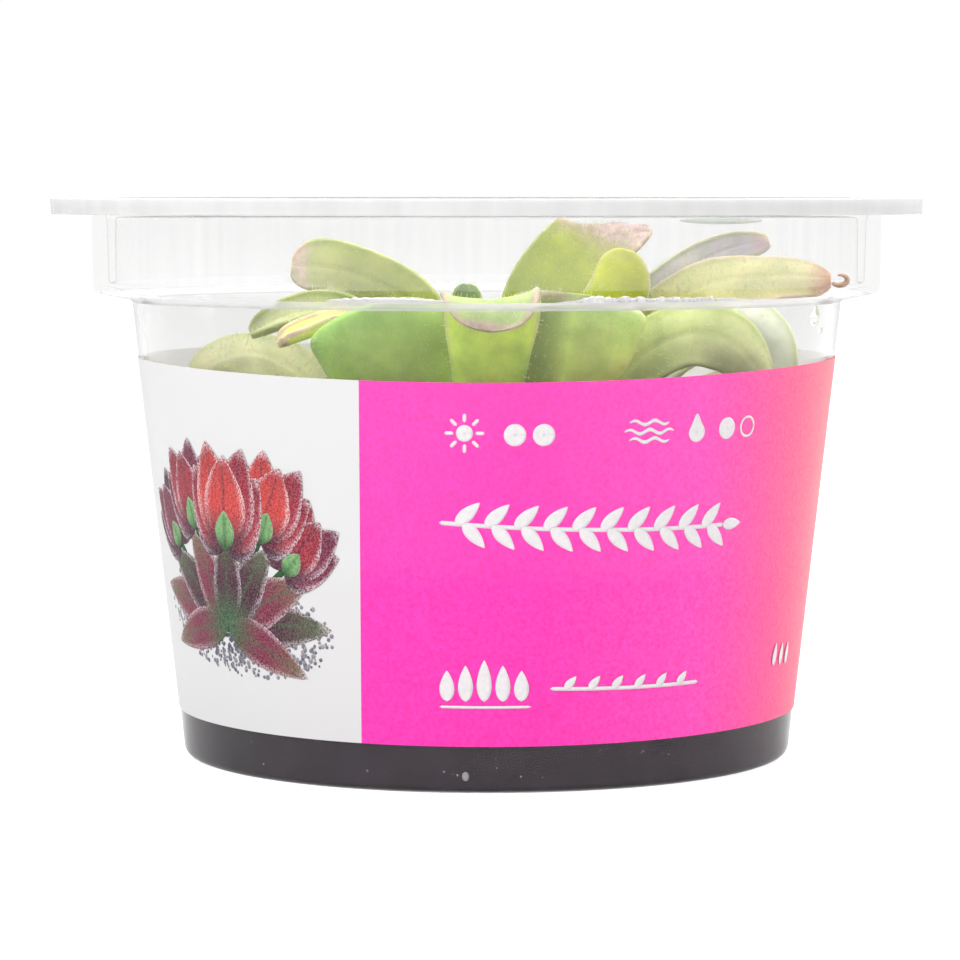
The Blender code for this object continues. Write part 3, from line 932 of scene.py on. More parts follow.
def make_picture():
    """A generic bunch of cupped blooms with broad leaves, in crimson, plum and green, over a soft shadow."""
    picture = Print("label_bouquet", ink_material())
    chance = random.Random(4)
    print_shadow(picture, chance)
    blooms = [
        (-42.4, -2, 132, 1.12, (PLUM, WINE)), (-23.4, -2, 50, 1.1, (WINE, CRIMSON)),
        (-38.2, 0.8, 112, 1.25, (WINE, CRIMSON)), (-26.8, 1, 70, 1.28, (CRIMSON, SCARLET)),
        (-32.4, -0.6, 90, 1.5, (CRIMSON, SCARLET)),
    ]
    for x, y, *_ in blooms:
        picture.patch(bar(-32.4, -10, x, y, 0.8), 40, 2, plain(STEM_GREEN))
    for turn, length, width, bend in (
        (166, 15.5, 5.6, 0.14), (14, 15, 5.6, -0.14), (146, 14, 5.6, 0.1), (34, 14, 5.6, -0.1),
        (122, 12, 5.4, 0.06), (58, 12, 5.4, -0.06), (90, 11, 5, 0.0),
        (190, 13, 4.8, 0.16), (-10, 12.5, 4.8, -0.16),
    ):
        tone = chance.choice((PLUM, WINE))
        picture.patch(
            petal(-32.4, -9.6, turn, length, width, bend), 36, 12,
            shaded(STEM_GREEN, tone, mixed(tone, FRESH_GREEN, 0.3), 0.7),
        )
    for x, y, lean, size, (dark, bright) in blooms:
        for turn, length, width, middle in (
            (-66, 5, 3.8, PLUM), (66, 5, 3.8, PLUM), (-44, 6.6, 4.4, dark), (44, 6.6, 4.4, dark),
            (-20, 7.8, 4.6, dark), (20, 7.8, 4.6, bright), (0, 6.8, 4.8, bright),
        ):
            outer = petal(x, y, lean + turn, length * size, width * size, -0.004 * turn, 0.8)
            picture.patch(outer, 36, 16, shaded(PLUM, middle, mixed(middle, PLUM, 0.35), 0.85))
        picture.patch(
            petal(x, y - 0.5, lean, 3 * size, 2.2 * size, 0.0, 0.85), 16, 6,
            shaded(STEM_GREEN, FRESH_GREEN, FRESH_GREEN, 0.3),
        )
    picture.finish()


# Leaves. The table and the blade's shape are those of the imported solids, drawn finer here. Only
# leaf_under_arch differs: it lies about 1 mm lower than its solid.

# Leaf colours, evenly spaced from the base to the tip
FLESH = {
    "arm_left": ((0.459, 0.468, 0.057), (0.448, 0.479, 0.113), (0.414, 0.446, 0.204)),
    "lobe_left": ((0.347, 0.439, 0.069), (0.494, 0.524, 0.296)),
    "rolled_left": ((0.771, 0.834, 0.096), (0.9, 0.9, 0.381)),
    "dome_left": ((0.353, 0.371, 0.133), (0.46, 0.455, 0.279)),
    "front_left": ((0.605, 0.724, 0.13), (0.484, 0.644, 0.14), (0.33, 0.529, 0.167)),
    "front_centre": (
        (0.459, 0.708, 0.09), (0.459, 0.683, 0.09), (0.739, 0.9, 0.18), (0.47, 0.573, 0.25),
        (0.448, 0.537, 0.26),
    ),
    "front_right": ((0.44, 0.48, 0.12), (0.36, 0.43, 0.12), (0.2, 0.28, 0.1)),
    "tall": ((0.268, 0.359, 0.011), (0.339, 0.407, 0.02), (0.375, 0.427, 0.046), (0.304, 0.272, 0.186)),
    "folded": ((0.374, 0.48, 0.01), (0.55, 0.578, 0.034)),
    "back_right": ((0.435, 0.439, 0.238), (0.541, 0.498, 0.572)),
    "broad_right": ((0.33, 0.359, 0.055), (0.47, 0.437, 0.246)),
    "arch_right": ((0.39, 0.469, 0.11), (0.46, 0.49, 0.27)),
    "pale_right": ((0.84, 0.9, 0.664), (0.9, 0.9, 0.877)),
    "under_arch": ((0.55, 0.6, 0.35), (0.7, 0.72, 0.45)),
    "heart": ((0.36, 0.46, 0.14), (0.24, 0.34, 0.14)),
    "low": ((0.36, 0.48, 0.07), (0.5, 0.58, 0.16)),
}

# Midribs in millimetres from the base to the tip. The face is the way that the upper side looks, along
# the leaf, and sides scales the colour of its left and right halves, seen with the tip up and the upper
# side in front: painted shade and light.
LEAVES = {
    "leaf_arm_left": dict(
        midrib=[(-5, 4, 32), (-4.6, 7, 41), (-6.2, 8, 49.4), (-11.5, 8, 53.3), (-17.4, 8, 55.4),
                (-23, 8, 55.9)],
        base=1.3, broad=3.4, at=0.84, tip=2.4, face=[(-1, -0.5, 0.2), (0, -1, 0.5)], curl=[35, 20],
        blush=(0.15, 0.9), sides=(0.72, 1.1),
    ),
    "leaf_lobe_left": dict(
        midrib=[(-7.5, -1.5, 31), (-10, -3.5, 41), (-13, -6.5, 48.5), (-17.5, -7.5, 51), (-22.5, -8, 50.3),
                (-26.8, -8, 48.4)],
        base=1.4, broad=2.6, at=0.66, tip=3, face=[(-0.6, -0.4, 0.8), (-0.1, -0.8, 1)], curl=[35, 60],
        blush=(0.1, 0.15), sides=(1, 0.85),
    ),
    "leaf_rolled_left": dict(
        midrib=[(-6.5, -5, 31), (-8.5, -9.5, 41), (-11.5, -13, 48.8), (-16, -14, 49.9), (-20, -14.2, 48.9),
                (-23.4, -14, 47.6)],
        base=1.4, broad=2.1, at=0.7, tip=3.4, face=[(-0.5, 0.5, 0.7), (-0.2, -0.6, 1)], curl=[40, 75],
        blush=(0.8, 0.9),
    ),
    "leaf_dome_left": dict(
        midrib=[(-9, 2.4, 29.2), (-14, 4.2, 36), (-20, 5, 41.6), (-26, 5, 45.2), (-31, 4.5, 44.8),
                (-34.6, 4, 41.8)],
        base=2, broad=5.4, at=0.6, tip=1.5, face=[(-0.5, -0.2, 1), (0.1, -0.75, 1)], curl=[20, -25],
        blush=(0.0, 0.1), fold_shade_below=-0.12,
    ),
    "leaf_front_left": dict(
        midrib=[(-4, -7, 29), (-6.5, -13.5, 36.5), (-9.5, -18.5, 43), (-11.8, -20.5, 48.5),
                (-13, -20.8, 52.3)],
        base=1.8, broad=8, at=0.74, tip=2.6, face=[(0.1, 0.7, 0.7), (-0.2, 0.8, 0.4)], curl=[35, 25],
        sides=(0.8, 1.25),
    ),
    "leaf_front_centre": dict(
        midrib=[(0.5, -8, 28), (-0.2, -18, 35), (0, -25.4, 42), (0.4, -28.4, 47.5), (0.5, -29.8, 51.2),
                (0.4, -31.8, 52.6), (0.2, -33.6, 51.4), (0, -34.2, 49.8)],
        base=1.8, broad=5.4, at=0.66, tip=2.4, face=[(0, 0.6, 0.8), (0, 1, 0.4), (0, -1, 0.3)],
        curl=[30, 20], blush=(0.7, 1.0),
    ),
    "leaf_front_right": dict(
        midrib=[(5.4, -6.5, 29), (7.4, -12, 37), (9, -16, 44), (10, -17.6, 49), (10.6, -17.4, 53.4)],
        base=1.7, broad=8, at=0.84, tip=4.5, face=[(0, 0.7, 0.7), (-0.1, 0.8, 0.5)], curl=[30, 18],
        blush=(0.1, 0.5), sides=(2.4, 0.7), streak=0.6,
    ),
    "leaf_tall": dict(
        midrib=[(3, 1.5, 36), (4.2, 1, 44), (6.8, 0.2, 51.5), (10.9, -0.2, 57), (13.6, 1, 59.9),
                (15, 5, 60.6)],
        base=1.6, broad=5.9, at=0.6, tip=3, face=[(0, -1, 0.2), (-0.15, -0.4, 1)], curl=[30, -4],
        blush=(0.2, 0.8), blush_from=0.58, tip_darkening=0.55,
    ),
    "leaf_folded": dict(
        midrib=[(6.4, -2.9, 33.5), (9.8, -5, 42), (12.8, -7, 49), (14.8, -8, 53.5), (15.9, -7.6, 58.2)],
        base=1.6, broad=3.5, at=0.76, tip=2.4, face=[(0.4, -0.6, 0.7), (0.1, 1, 0.2)], curl=[30, 35],
        blush=(0.7, 0.2), sides=(0.85, 1),
    ),
    "leaf_back_right": dict(
        midrib=[(5.2, 5.4, 32), (8.8, 9.2, 40), (15.4, 11.5, 48.4), (22, 12.5, 54.2), (28, 12.8, 57.4),
                (33.6, 12.5, 58.9)],
        base=1.5, broad=2.2, at=0.66, tip=2.4, face=[(0.5, -0.3, 0.8), (0, -1, 0.5)], curl=[30, 15],
        blush=(0.2, 0.9),
    ),
    "leaf_broad_right": dict(
        midrib=[(8.6, 0.5, 31.8), (11.7, 0.5, 40), (17.5, 0, 48.6), (25, -0.4, 53.4), (33, -0.5, 54.6),
                (39.8, -0.5, 54.5)],
        base=1.6, broad=4.5, at=0.6, tip=1.7, face=[(-0.6, 0, 1), (0.1, -1.05, 1)], curl=[35, -14],
        blush=(0.8, 0.3), sides=(1.1, 0.95), brown=0.9,
    ),
    "leaf_arch_right": dict(
        midrib=[(9, -5, 29.6), (12.6, -7.4, 37.4), (16.6, -10, 45), (22, -12, 48.4), (27, -12.8, 47.9),
                (31.6, -12.6, 43.4)],
        base=1.6, broad=3.7, at=0.62, tip=2.4, face=[(-0.5, -0.8, 0.6), (0.2, -1, 0.3)], curl=[30, -12],
        sides=(1.3, 0.8),
    ),
    "leaf_pale_right": dict(
        midrib=[(9.2, 4.8, 29.4), (14.2, 7, 36.8), (21.5, 8.6, 44.5), (28.2, 8.6, 49.4), (32.4, 8, 47.4),
                (33.2, 7.6, 42), (32.6, 7.2, 37.4)],
        base=1.7, broad=3.8, at=0.6, tip=2.4, face=[(-0.4, -0.4, 0.9), (0.5, -1, 0.3)], curl=[30, -15],
        sides=(1, 0.9),
    ),
    "leaf_under_arch": dict(
        midrib=[(9.8, -1, 27.2), (15, -2.4, 33.2), (21.4, -3, 39.4), (27.6, -3, 42.9), (32.8, -3, 42.2),
                (35, -3, 38.6)],
        base=1.8, broad=4, at=0.62, tip=2.4, face=[(-0.5, -0.1, 1), (0.2, -0.35, 1)], curl=[25, -20],
    ),
    "leaf_heart": dict(
        midrib=[(-1.2, 2.6, 37), (-2, 3.6, 43), (-2.5, 4.6, 48.5), (-2.2, 5.4, 54)],
        base=1.2, broad=1.8, at=0.7, tip=5, face=[(0, -1, 0.3), (0.2, -1, 0.2)], curl=[35, 45],
        sides=(0.85, 1),
    ),
    "leaf_low_left": dict(
        midrib=[(-9.6, -2.8, 27.2), (-15.5, -5.6, 31), (-21.5, -8.4, 34), (-27, -10.5, 35),
                (-31, -11.5, 33)],
        base=1.9, broad=5, at=0.6, tip=2.4, face=[(0.2, 0, 1), (-0.3, 0, 1)], curl=[20, -15],
        blush=(0.2, 0.3),
    ),
    "leaf_low_back_left": dict(
        midrib=[(-7.4, 5.8, 27), (-12, 12, 33), (-16.5, 18, 37), (-20.5, 22.5, 37), (-23.5, 25.5, 34.5)],
        base=1.8, broad=5, at=0.62, tip=2.4, face=[(0.2, -0.3, 1), (-0.3, 0.3, 1)], curl=[25, -15],
        blush=(0.2, 0.3),
    ),
    "leaf_low_back": dict(
        midrib=[(-1.4, 7.4, 27.2), (0.2, 14.5, 33), (1.6, 21.5, 37), (2, 27, 37), (2, 31.4, 34.5)],
        base=1.8, broad=5.2, at=0.6, tip=2.4, face=[(0, -0.3, 1), (0, 0.3, 1)], curl=[25, -15],
        blush=(0.2, 0.3),
    ),
    "leaf_low_back_right": dict(
        midrib=[(4.6, 7.2, 27.2), (10, 14.2, 32.5), (15.4, 20.4, 36), (19.4, 24.6, 36), (22.4, 27.4, 33.5)],
        base=1.7, broad=4.6, at=0.62, tip=2.4, face=[(-0.2, -0.3, 1), (0.3, 0.3, 1)], curl=[25, -15],
        blush=(0.2, 0.3),
    ),
}

LEAF_MIDDLE = 1.3 * MM
LEAF_MARGIN = 0.6 * MM
ROOT_REACH = 2.2 * MM
STATIONS = 54
HALF_COLUMNS = 10
MARGIN_STEPS = 3
EDGE_TONE = (0.3, 0.34, 0.16)
# Painted shade for a margin that seems rolled under
FOLD_SHADE_TONE = (0.3, 0.3, 0.14)
BROWN_TONE = (0.4, 0.22, 0.08)

# Gland hairs and drops of dew on a square metre of leaf
HAIR_DENSITY = 1.6e6
LOW_HAIR_DENSITY = 0.5e6
DEW_DENSITY = 5e4


def along(points, share):
    """The place on a smooth curve through the points, for a share from 0 to 1."""
    spans = len(points) - 1
    reach = min(share * spans, spans - 1e-6)
    span = int(reach)
    t = reach - span
    near = points[span]
    far = points[span + 1]
    before = points[span - 1] if span > 0 else near * 2 - far
    after = points[span + 2] if span + 2 <= spans else far * 2 - near
    return 0.5 * (
        near * 2
        + (far - before) * t
        + (before * 2 - near * 5 + far * 4 - after) * t**2
        + (near * 3 - before - far * 3 + after) * t**3
    )


def face_at(share, faces):
    """The way that the blade's upper side looks, changing evenly from one of the faces to the next."""
    reach = min(share, 1 - 1e-6) * (len(faces) - 1)
    step = int(reach)
    return Vector(faces[step]).lerp(Vector(faces[step + 1]), reach - step)


def blade_half_width(share, leaf):
    broadest = leaf["at"]
    if share < broadest:
        rise = sin(0.5 * pi * share / broadest) ** 1.5
        return (leaf["base"] + (leaf["broad"] - leaf["base"]) * rise) * MM
    fall = (share - broadest) / (1 - broadest)
    return leaf["broad"] * MM * sqrt(max(0.0, 1 - fall ** leaf["tip"]))


def blade_middle(place, side, up, half, share, leaf, ruffles):
    """The surface midway through a blade, as (spot, normal, way outwards) by column from margin to margin.

    It walks outwards from the midrib on each side, turning as the blade curls and its margin rolls.
    """
    curl = radians(leaf["curl"][0] + (leaf["curl"][1] - leaf["curl"][0]) * share)
    roll = radians(16) * smooth_step(0.1, 0.5, share)
    section = {}
    for hand in (-1, 1):
        spot = place.copy()
        for column in range(HALF_COLUMNS + 1):
            across = column / HALF_COLUMNS
            turn = across * curl + roll * smooth_step(0.74, 1.0, across)
            outward = side * hand * cos(turn) + up * sin(turn)
            normal = up * cos(turn) - side * hand * sin(turn)
            if column:
                spot = spot + outward * (half / HALF_COLUMNS)
            section[hand * column] = (spot + normal * ruffles(share, across, hand), normal, outward)
    return section


def blade_ring(section, share, slender):
    """The points round a blade, each with its place across: top, round margin, bottom, round margin."""
    top, bottom = [], []
    for column in range(-HALF_COLUMNS, HALF_COLUMNS + 1):
        spot, normal, outward = section[column]
        across = column / HALF_COLUMNS
        thick = LEAF_MARGIN + (LEAF_MIDDLE - LEAF_MARGIN) * (1 - across**2) * slender
        keel = 0.35 * MM * math.exp(-((across / 0.14) ** 2)) * (1 - share) * slender
        groove = 0.22 * MM * math.exp(-((across / 0.1) ** 2)) * (1 - 0.6 * share) * slender
        top.append((spot + normal * (thick / 2 - groove), across))
        bottom.append((spot - normal * (thick / 2 + keel), across))
    margins = []
    for hand in (1, -1):
        spot, normal, outward = section[hand * HALF_COLUMNS]
        for step in range(1, MARGIN_STEPS + 1):
            angle = pi * step / (MARGIN_STEPS + 1)
            lift = cos(angle) if hand == 1 else -cos(angle)
            reach = spot + normal * lift * LEAF_MARGIN / 2 + outward * sin(angle) * LEAF_MARGIN / 2
            margins.append((reach, hand))
    return top + margins[:MARGIN_STEPS] + bottom[::-1] + margins[MARGIN_STEPS:]


def blade_colour(leaf, flesh, share, across, on_top):
    edge = abs(across)
    left, right = leaf.get("sides", (1, 1))
    colour = tuple(face_at(share, flesh))
    colour = mixed(colour, EDGE_TONE, 0.4 * smooth_step(0.85, 1.0, edge))
    # Painted shade and light: the left and right halves are dimmed and brightened by the leaf's sides.
    dim = left + (right - left) * smooth_step(-0.9, 0.9, across)
    if "streak" in leaf and not on_top:
        dim += leaf["streak"] * math.exp(-(((across - 0.1) / 0.12) ** 2))
    # Painted shade: below this place across, the near side is toned darker grey-green, as if rolled under.
    if across < leaf.get("fold_shade_below", -2):
        colour = mixed(colour, FOLD_SHADE_TONE, 0.6)
    # Darker towards the tip.
    if "tip_darkening" in leaf:
        dim *= 1 - leaf["tip_darkening"] * smooth_step(0.6, 0.85, share)
    if share > leaf.get("brown", 1):
        colour = mixed(colour, BROWN_TONE, smooth_step(leaf["brown"], 0.99, share))
    return (*(min(0.9, channel * dim) for channel in colour), 1)


def blade_blush(leaf, share, across):
    """How pink a blade is, at its margins and towards its tip."""
    rim_blush, tip_blush = leaf.get("blush", (0, 0))
    margin = rim_blush * smooth_step(0.86, 1.0, abs(across)) * smooth_step(0.3, 0.7, share)
    start = leaf.get("blush_from", 0.9)
    end = tip_blush * smooth_step(start, start + 0.6 * (1 - start), share)
    return min(1.0, max(margin, end))


def build_blade(node, leaf, material, chance):
    """A fleshy blade with rolled margins, a keel below, a groove above and a little ruffle."""
    midrib = [Vector(point) * MM for point in leaf["midrib"]]
    midrib[0] += (midrib[0] - midrib[1]).normalized() * ROOT_REACH
    flesh = FLESH["low" if node.startswith("leaf_low") else node.replace("leaf_", "")]
    ruffle = chance.uniform(0.12, 0.26) * MM
    waves = chance.uniform(2.2, 3.6)
    phase = chance.uniform(0, 2 * pi)

    def ruffles(share, across, hand):
        return ruffle * across**2 * sin(2 * pi * waves * share + phase + hand)

    points, colours, blushes, sheet = [], [], [], []
    for station in range(STATIONS):
        share = sin(0.5 * pi * station / (STATIONS - 1)) * 0.996
        place = along(midrib, share)
        direction = (along(midrib, min(share + 0.01, 1)) - along(midrib, share - 0.01)).normalized()
        face = face_at(share, leaf["face"])
        up = (face - direction * face.dot(direction)).normalized()
        half = blade_half_width(share, leaf)
        section = blade_middle(place, direction.cross(up), up, half, share, leaf, ruffles)
        for index, (spot, across) in enumerate(blade_ring(section, share, min(1, half / (3 * MM)))):
            points.append(spot)
            colours.append(blade_colour(leaf, flesh, share, across, index <= 2 * HALF_COLUMNS))
            blushes.append(blade_blush(leaf, share, across))
            sheet.append((share, 0.5 + 0.5 * across))
    faces = ring_faces(STATIONS, len(points) // STATIONS)
    blade = add_mesh(node.replace("leaf_", "blade_"), points, faces, material)
    # The stored colour holds painted shade and light: the dimmed and brightened halves and the darker
    # rolled-under side.
    store(blade.data, "flesh", "FLOAT_COLOR", colours)
    store(blade.data, "blush", "FLOAT", blushes)
    store_uv(blade.data, sheet)
    faces_out(blade)
    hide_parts(node)
    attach(blade, "root")
    return blade


def scatter(tree, given, shape, size):
    """Ends a tree: the shape, sized by size, on points scattered over the mesh and turned to its normals."""
    spots = add(
        tree, "GeometryNodeDistributePointsOnFaces",
        {"Mesh": given["Geometry"], "Density": given["Density"], "Seed": given["Seed"]},
    ).outputs
    placed = add(tree, "GeometryNodeInstanceOnPoints", {
        "Points": spots["Points"], "Instance": shape, "Rotation": spots["Rotation"], "Scale": size,
    })
    smooth = add(tree, "GeometryNodeSetShadeSmooth", {"Geometry": placed.outputs[0]}, domain="FACE")
    end_tree(tree, smooth.outputs[0], given["Finish"])
    return tree


def gland_tree():
    """Stalked glands scattered over a blade: a thin stalk with a small bead on its end."""
    tree, given = geometry_tree("glands", [
        ("Density", "NodeSocketFloat", 2e6),
        ("Seed", "NodeSocketInt", 1),
        ("Stalk Length", "NodeSocketFloat", 0.38 * MM),
        ("Stalk Radius", "NodeSocketFloat", 0.018 * MM),
        ("Bead Radius", "NodeSocketFloat", 0.036 * MM),
        ("Finish", "NodeSocketMaterial", None),
    ])
    stalk = add(tree, "GeometryNodeMeshCone", {
        "Vertices": 3, "Radius Top": given["Stalk Radius"], "Radius Bottom": given["Stalk Radius"],
        "Depth": given["Stalk Length"],
    })
    bead = add(tree, "GeometryNodeMeshIcoSphere", {"Radius": given["Bead Radius"], "Subdivisions": 1})
    lift = add(tree, "ShaderNodeCombineXYZ", {2: given["Stalk Length"]})
    raised = add(
        tree, "GeometryNodeTransform",
        {"Geometry": bead.outputs["Mesh"], "Translation": lift.outputs[0]},
    )
    both = tree.nodes.new("GeometryNodeJoinGeometry")
    tree.links.new(stalk.outputs["Mesh"], both.inputs[0])
    tree.links.new(raised.outputs[0], both.inputs[0])
    size = add(tree, "FunctionNodeRandomValue", {2: 0.7, 3: 1.25, "Seed": given["Seed"]}, data_type="FLOAT")
    return scatter(tree, given, both.outputs[0], size.outputs[1])


def make_leaves():
    chance = random.Random(11)
    flesh = leaf_material()
    hair = gland_material()
    glands = gland_tree()
    for number, (node, leaf) in enumerate(LEAVES.items()):
        blade = build_blade(node, leaf, flesh, chance)
        density = LOW_HAIR_DENSITY if node.startswith("leaf_low") else HAIR_DENSITY
        hairs = grown(
            node.replace("leaf_", "glands_"), blade.data.copy(), glands,
            {"Density": density, "Seed": 20 + number, "Finish": hair},
        )
        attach(hairs, "root")


def make_dry_tip():
    """The withered end of the broad right leaf: a thin brown hook that curls up and back."""
    steps, sides = 16, 10
    hook = (40.6, -1.0, 54.55)
    wide, back, high = 0.9, 0.8, 0.6
    thickest = 0.34 * MM
    brown = principled("dry_tip", (0.42, 0.24, 0.12), 0.5, Subsurface_Weight=0.2, Subsurface_Scale=0.001)[0]
    points = []
    for step in range(steps + 1):
        share = step / steps
        turn = radians(-150 + 255 * share)
        middle = (hook[0] + wide * cos(turn), hook[1] - back * share, hook[2] + high * sin(turn))
        outward = Vector((cos(turn), 0, sin(turn)))
        thick = thickest * (0.25 + 0.75 * sin(pi * min(0.97, 0.15 + 0.82 * share)))
        for side in range(sides):
            angle = 2 * pi * side / sides
            sideways = Vector((0, 1, 0)) * 2.4 * thick * sin(angle)
            points.append(Vector(middle) * MM + outward * thick * cos(angle) + sideways)
    tip = faces_out(add_mesh("dry_tip", points, ring_faces(steps + 1, sides), brown))
    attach(tip, "root")


def make_crown():
    """The mound that the leaves grow from, with a lumpy surface, and its root stock in the gel."""
    segments = 40
    sections = [
        (12.3, 3.2, 3.2), (23.2, 4.4, 4.4), (23.7, 4.6, 4.4), (24.2, 7.6, 5.2), (27, 8.2, 5.6),
        (28.5, 7.9, 5.4), (30, 7.2, 4.8), (31.5, 6.2, 4.2), (33, 5, 3.4), (34.2, 3.8, 2.7), (35, 2.4, 1.8),
    ]
    points = []
    for height, wide, deep in sections:
        for step in range(segments):
            turn = 2 * pi * step / segments
            lump = 1
            if height > 24:
                lump += 0.03 * sin(5 * turn + height) + 0.02 * sin(11 * turn - 2 * height)
            points.append((wide * lump * cos(turn) * MM, deep * lump * sin(turn) * MM, height * MM))
    faces = ring_faces(len(sections), segments)
    crown = faces_out(add_mesh("crown_mound", points, faces, crown_material()))
    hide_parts("crown")
    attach(crown, "root")


# Wet details: film and froth on the ledge, dew, drops and bubbles. The ledge film's white is painted light,
# and a lens under the lid is a painted reflection

def ledge_place(share):
    """(radius, height) and the way out of the surface, on the cup's inside over the ledge's inner corner."""
    corner = Vector((SHOULDER_RADIUS + SWELL - WALL, INNER_SHOULDER_HEIGHT))
    outer = Vector((COLLAR_RADIUS - WALL - COLLAR_DRAFT, INNER_COLLAR_FOOT))
    on_ledge = corner.lerp(outer, 0.35)
    on_wall = corner - Vector((TAPER * MM, MM))
    spot = on_ledge.lerp(corner, share).lerp(corner.lerp(on_wall, share), share)
    out = Vector((-0.2, 1)).lerp(Vector((-1, 0.1)), smooth_step(0.2, 0.8, share)).normalized()
    return spot, out


def ledge_strip(start, end, seed, middle, width, lift, columns=90, rows=8):
    """Points and faces of an uneven strip of film over the ledge's corner, between bearings in degrees."""
    chance = random.Random(seed)
    waves = [
        (chance.uniform(0.2, 1), chance.uniform(2, 19), chance.uniform(0, 2 * pi))
        for _ in range(7)
    ]
    points = []
    for side in (0, 1):
        for column in range(columns + 1):
            share = column / columns
            turn = radians(start + (end - start) * share)
            taper = sin(pi * share) ** 0.5
            wave = sum(size * sin(rate * 2 * pi * share + phase) for size, rate, phase in waves) / 7
            spread = width * taper * (0.8 + 0.5 * wave)
            for row in range(rows + 1):
                spot, out = ledge_place(max(0.0, middle + spread * (row / rows - 0.5)))
                edge = 1 - (2 * row / rows - 1) ** 2
                rise = 0.02 * MM + side * lift * taper * (0.25 + 0.75 * edge) * (1 + 0.6 * wave)
                spot = spot + out * rise
                points.append((spot.x * sin(turn), -spot.x * cos(turn), spot.y))
    size = (columns + 1) * (rows + 1)
    step = rows + 1
    faces = []
    for column in range(columns):
        for row in range(rows):
            here = column * step + row
            faces.append((here, here + 1, here + step + 1, here + step))
            faces.append(tuple(size + corner for corner in (here, here + step, here + step + 1, here + 1)))
    for one, two in rim_pairs(columns, rows):
        faces.append((one, two, size + two, size + one))
    return points, faces


def bead_tree():
    """Beads of random size scattered over a mesh, half sunk in it."""
    tree, given = geometry_tree("beads", [
        ("Density", "NodeSocketFloat", 1e6),
        ("Seed", "NodeSocketInt", 1),
        ("Smallest", "NodeSocketFloat", 0.1 * MM),
        ("Largest", "NodeSocketFloat", 0.4 * MM),
        ("Flatness", "NodeSocketFloat", 0.7),
        ("Finish", "NodeSocketMaterial", None),
    ])
    bead = add(tree, "GeometryNodeMeshIcoSphere", {"Radius": 1.0, "Subdivisions": 2})
    flat = add(tree, "ShaderNodeCombineXYZ", {0: 1.0, 1: 1.0, 2: given["Flatness"]})
    squashed = add(
        tree, "GeometryNodeTransform",
        {"Geometry": bead.outputs["Mesh"], "Scale": flat.outputs[0]},
    )
    share = add(tree, "FunctionNodeRandomValue", {"Seed": given["Seed"]}, data_type="FLOAT")
    small_often = math_node(tree, "POWER", share.outputs[1], 3.0)
    spread = math_node(tree, "SUBTRACT", given["Largest"], given["Smallest"])
    size = math_node(tree, "MULTIPLY_ADD", small_often, spread, given["Smallest"])
    return scatter(tree, given, squashed.outputs[0], size)


def make_ledge_froth():
    froth_and_painted_light = froth_and_painted_light_material()
    # Film on the ledge's corner, made white as painted light for the bright band that the ledge shows.
    strips = (
        ("ledge_film_painted_light_left", -25, -6, 3, 0.4, 0.5, 0.42 * MM),
        ("ledge_film_painted_light_middle", -6, 14, 5, 0.62, 0.22, 0.06 * MM),
        ("ledge_film_painted_light_right", 10, 46, 6, 0.5, 0.6, 0.32 * MM),
    )
    for name, start, end, seed, middle, width, lift in strips:
        points, faces = ledge_strip(start, end, seed, middle, width, lift)
        film = faces_out(add_mesh(name, points, faces, froth_and_painted_light))
        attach(film, "root")
    beads = bead_tree()
    patches = (
        ("ledge_froth_middle", 13, 28, 8, 0.35, 0.75, 7e6, 0.62 * MM),
        ("ledge_froth_right", 24, 38, 9, 0.4, 0.6, 3e6, 0.36 * MM),
        ("ledge_froth_left", -34, -8, 10, 0.6, 0.6, 0.25e6, 0.18 * MM),
    )
    for name, start, end, seed, middle, width, density, largest in patches:
        points, faces = ledge_strip(start, end, seed, middle, width, 0.05 * MM, 40, 4)
        bubbles = grown(
            name, mesh_from(name + "_bed", points, faces), beads,
            {"Density": density, "Seed": seed, "Smallest": 0.06 * MM, "Largest": largest, "Finish": froth_and_painted_light},
        )
        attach(bubbles, "root")


def blob(name, centre, radii, material, point=0.0, lean=0.0, segments=28, rings=16):
    """A closed drop: an ellipsoid whose lower half hangs to a point, leaning with the wall."""
    points = [(0, 0, 1)]
    for ring in range(1, rings):
        angle = pi * ring / rings
        for step in range(segments):
            turn = 2 * pi * step / segments
            width = sin(angle) * (1 - point * max(0.0, cos(angle)))
            points.append((width * cos(turn), width * sin(turn), cos(angle)))
    points.append((0, 0, -1))
    placed = []
    for x, y, z in points:
        side = centre[0] + x * radii[0] + lean * z * radii[2]
        placed.append(Vector((side, centre[1] + y * radii[1], centre[2] + z * radii[2])) * MM)
    faces = [(0, 1 + step, 1 + (step + 1) % segments) for step in range(segments)]
    for ring in range(rings - 2):
        low = 1 + ring * segments
        for step in range(segments):
            after = (step + 1) % segments
            faces.append((low + step, low + segments + step, low + segments + after, low + after))
    last = 1 + (rings - 2) * segments
    faces += [(len(points) - 1, last + (step + 1) % segments, last + step) for step in range(segments)]
    piece = faces_out(add_mesh(name, placed, faces, material))
    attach(piece, "root")
    return piece


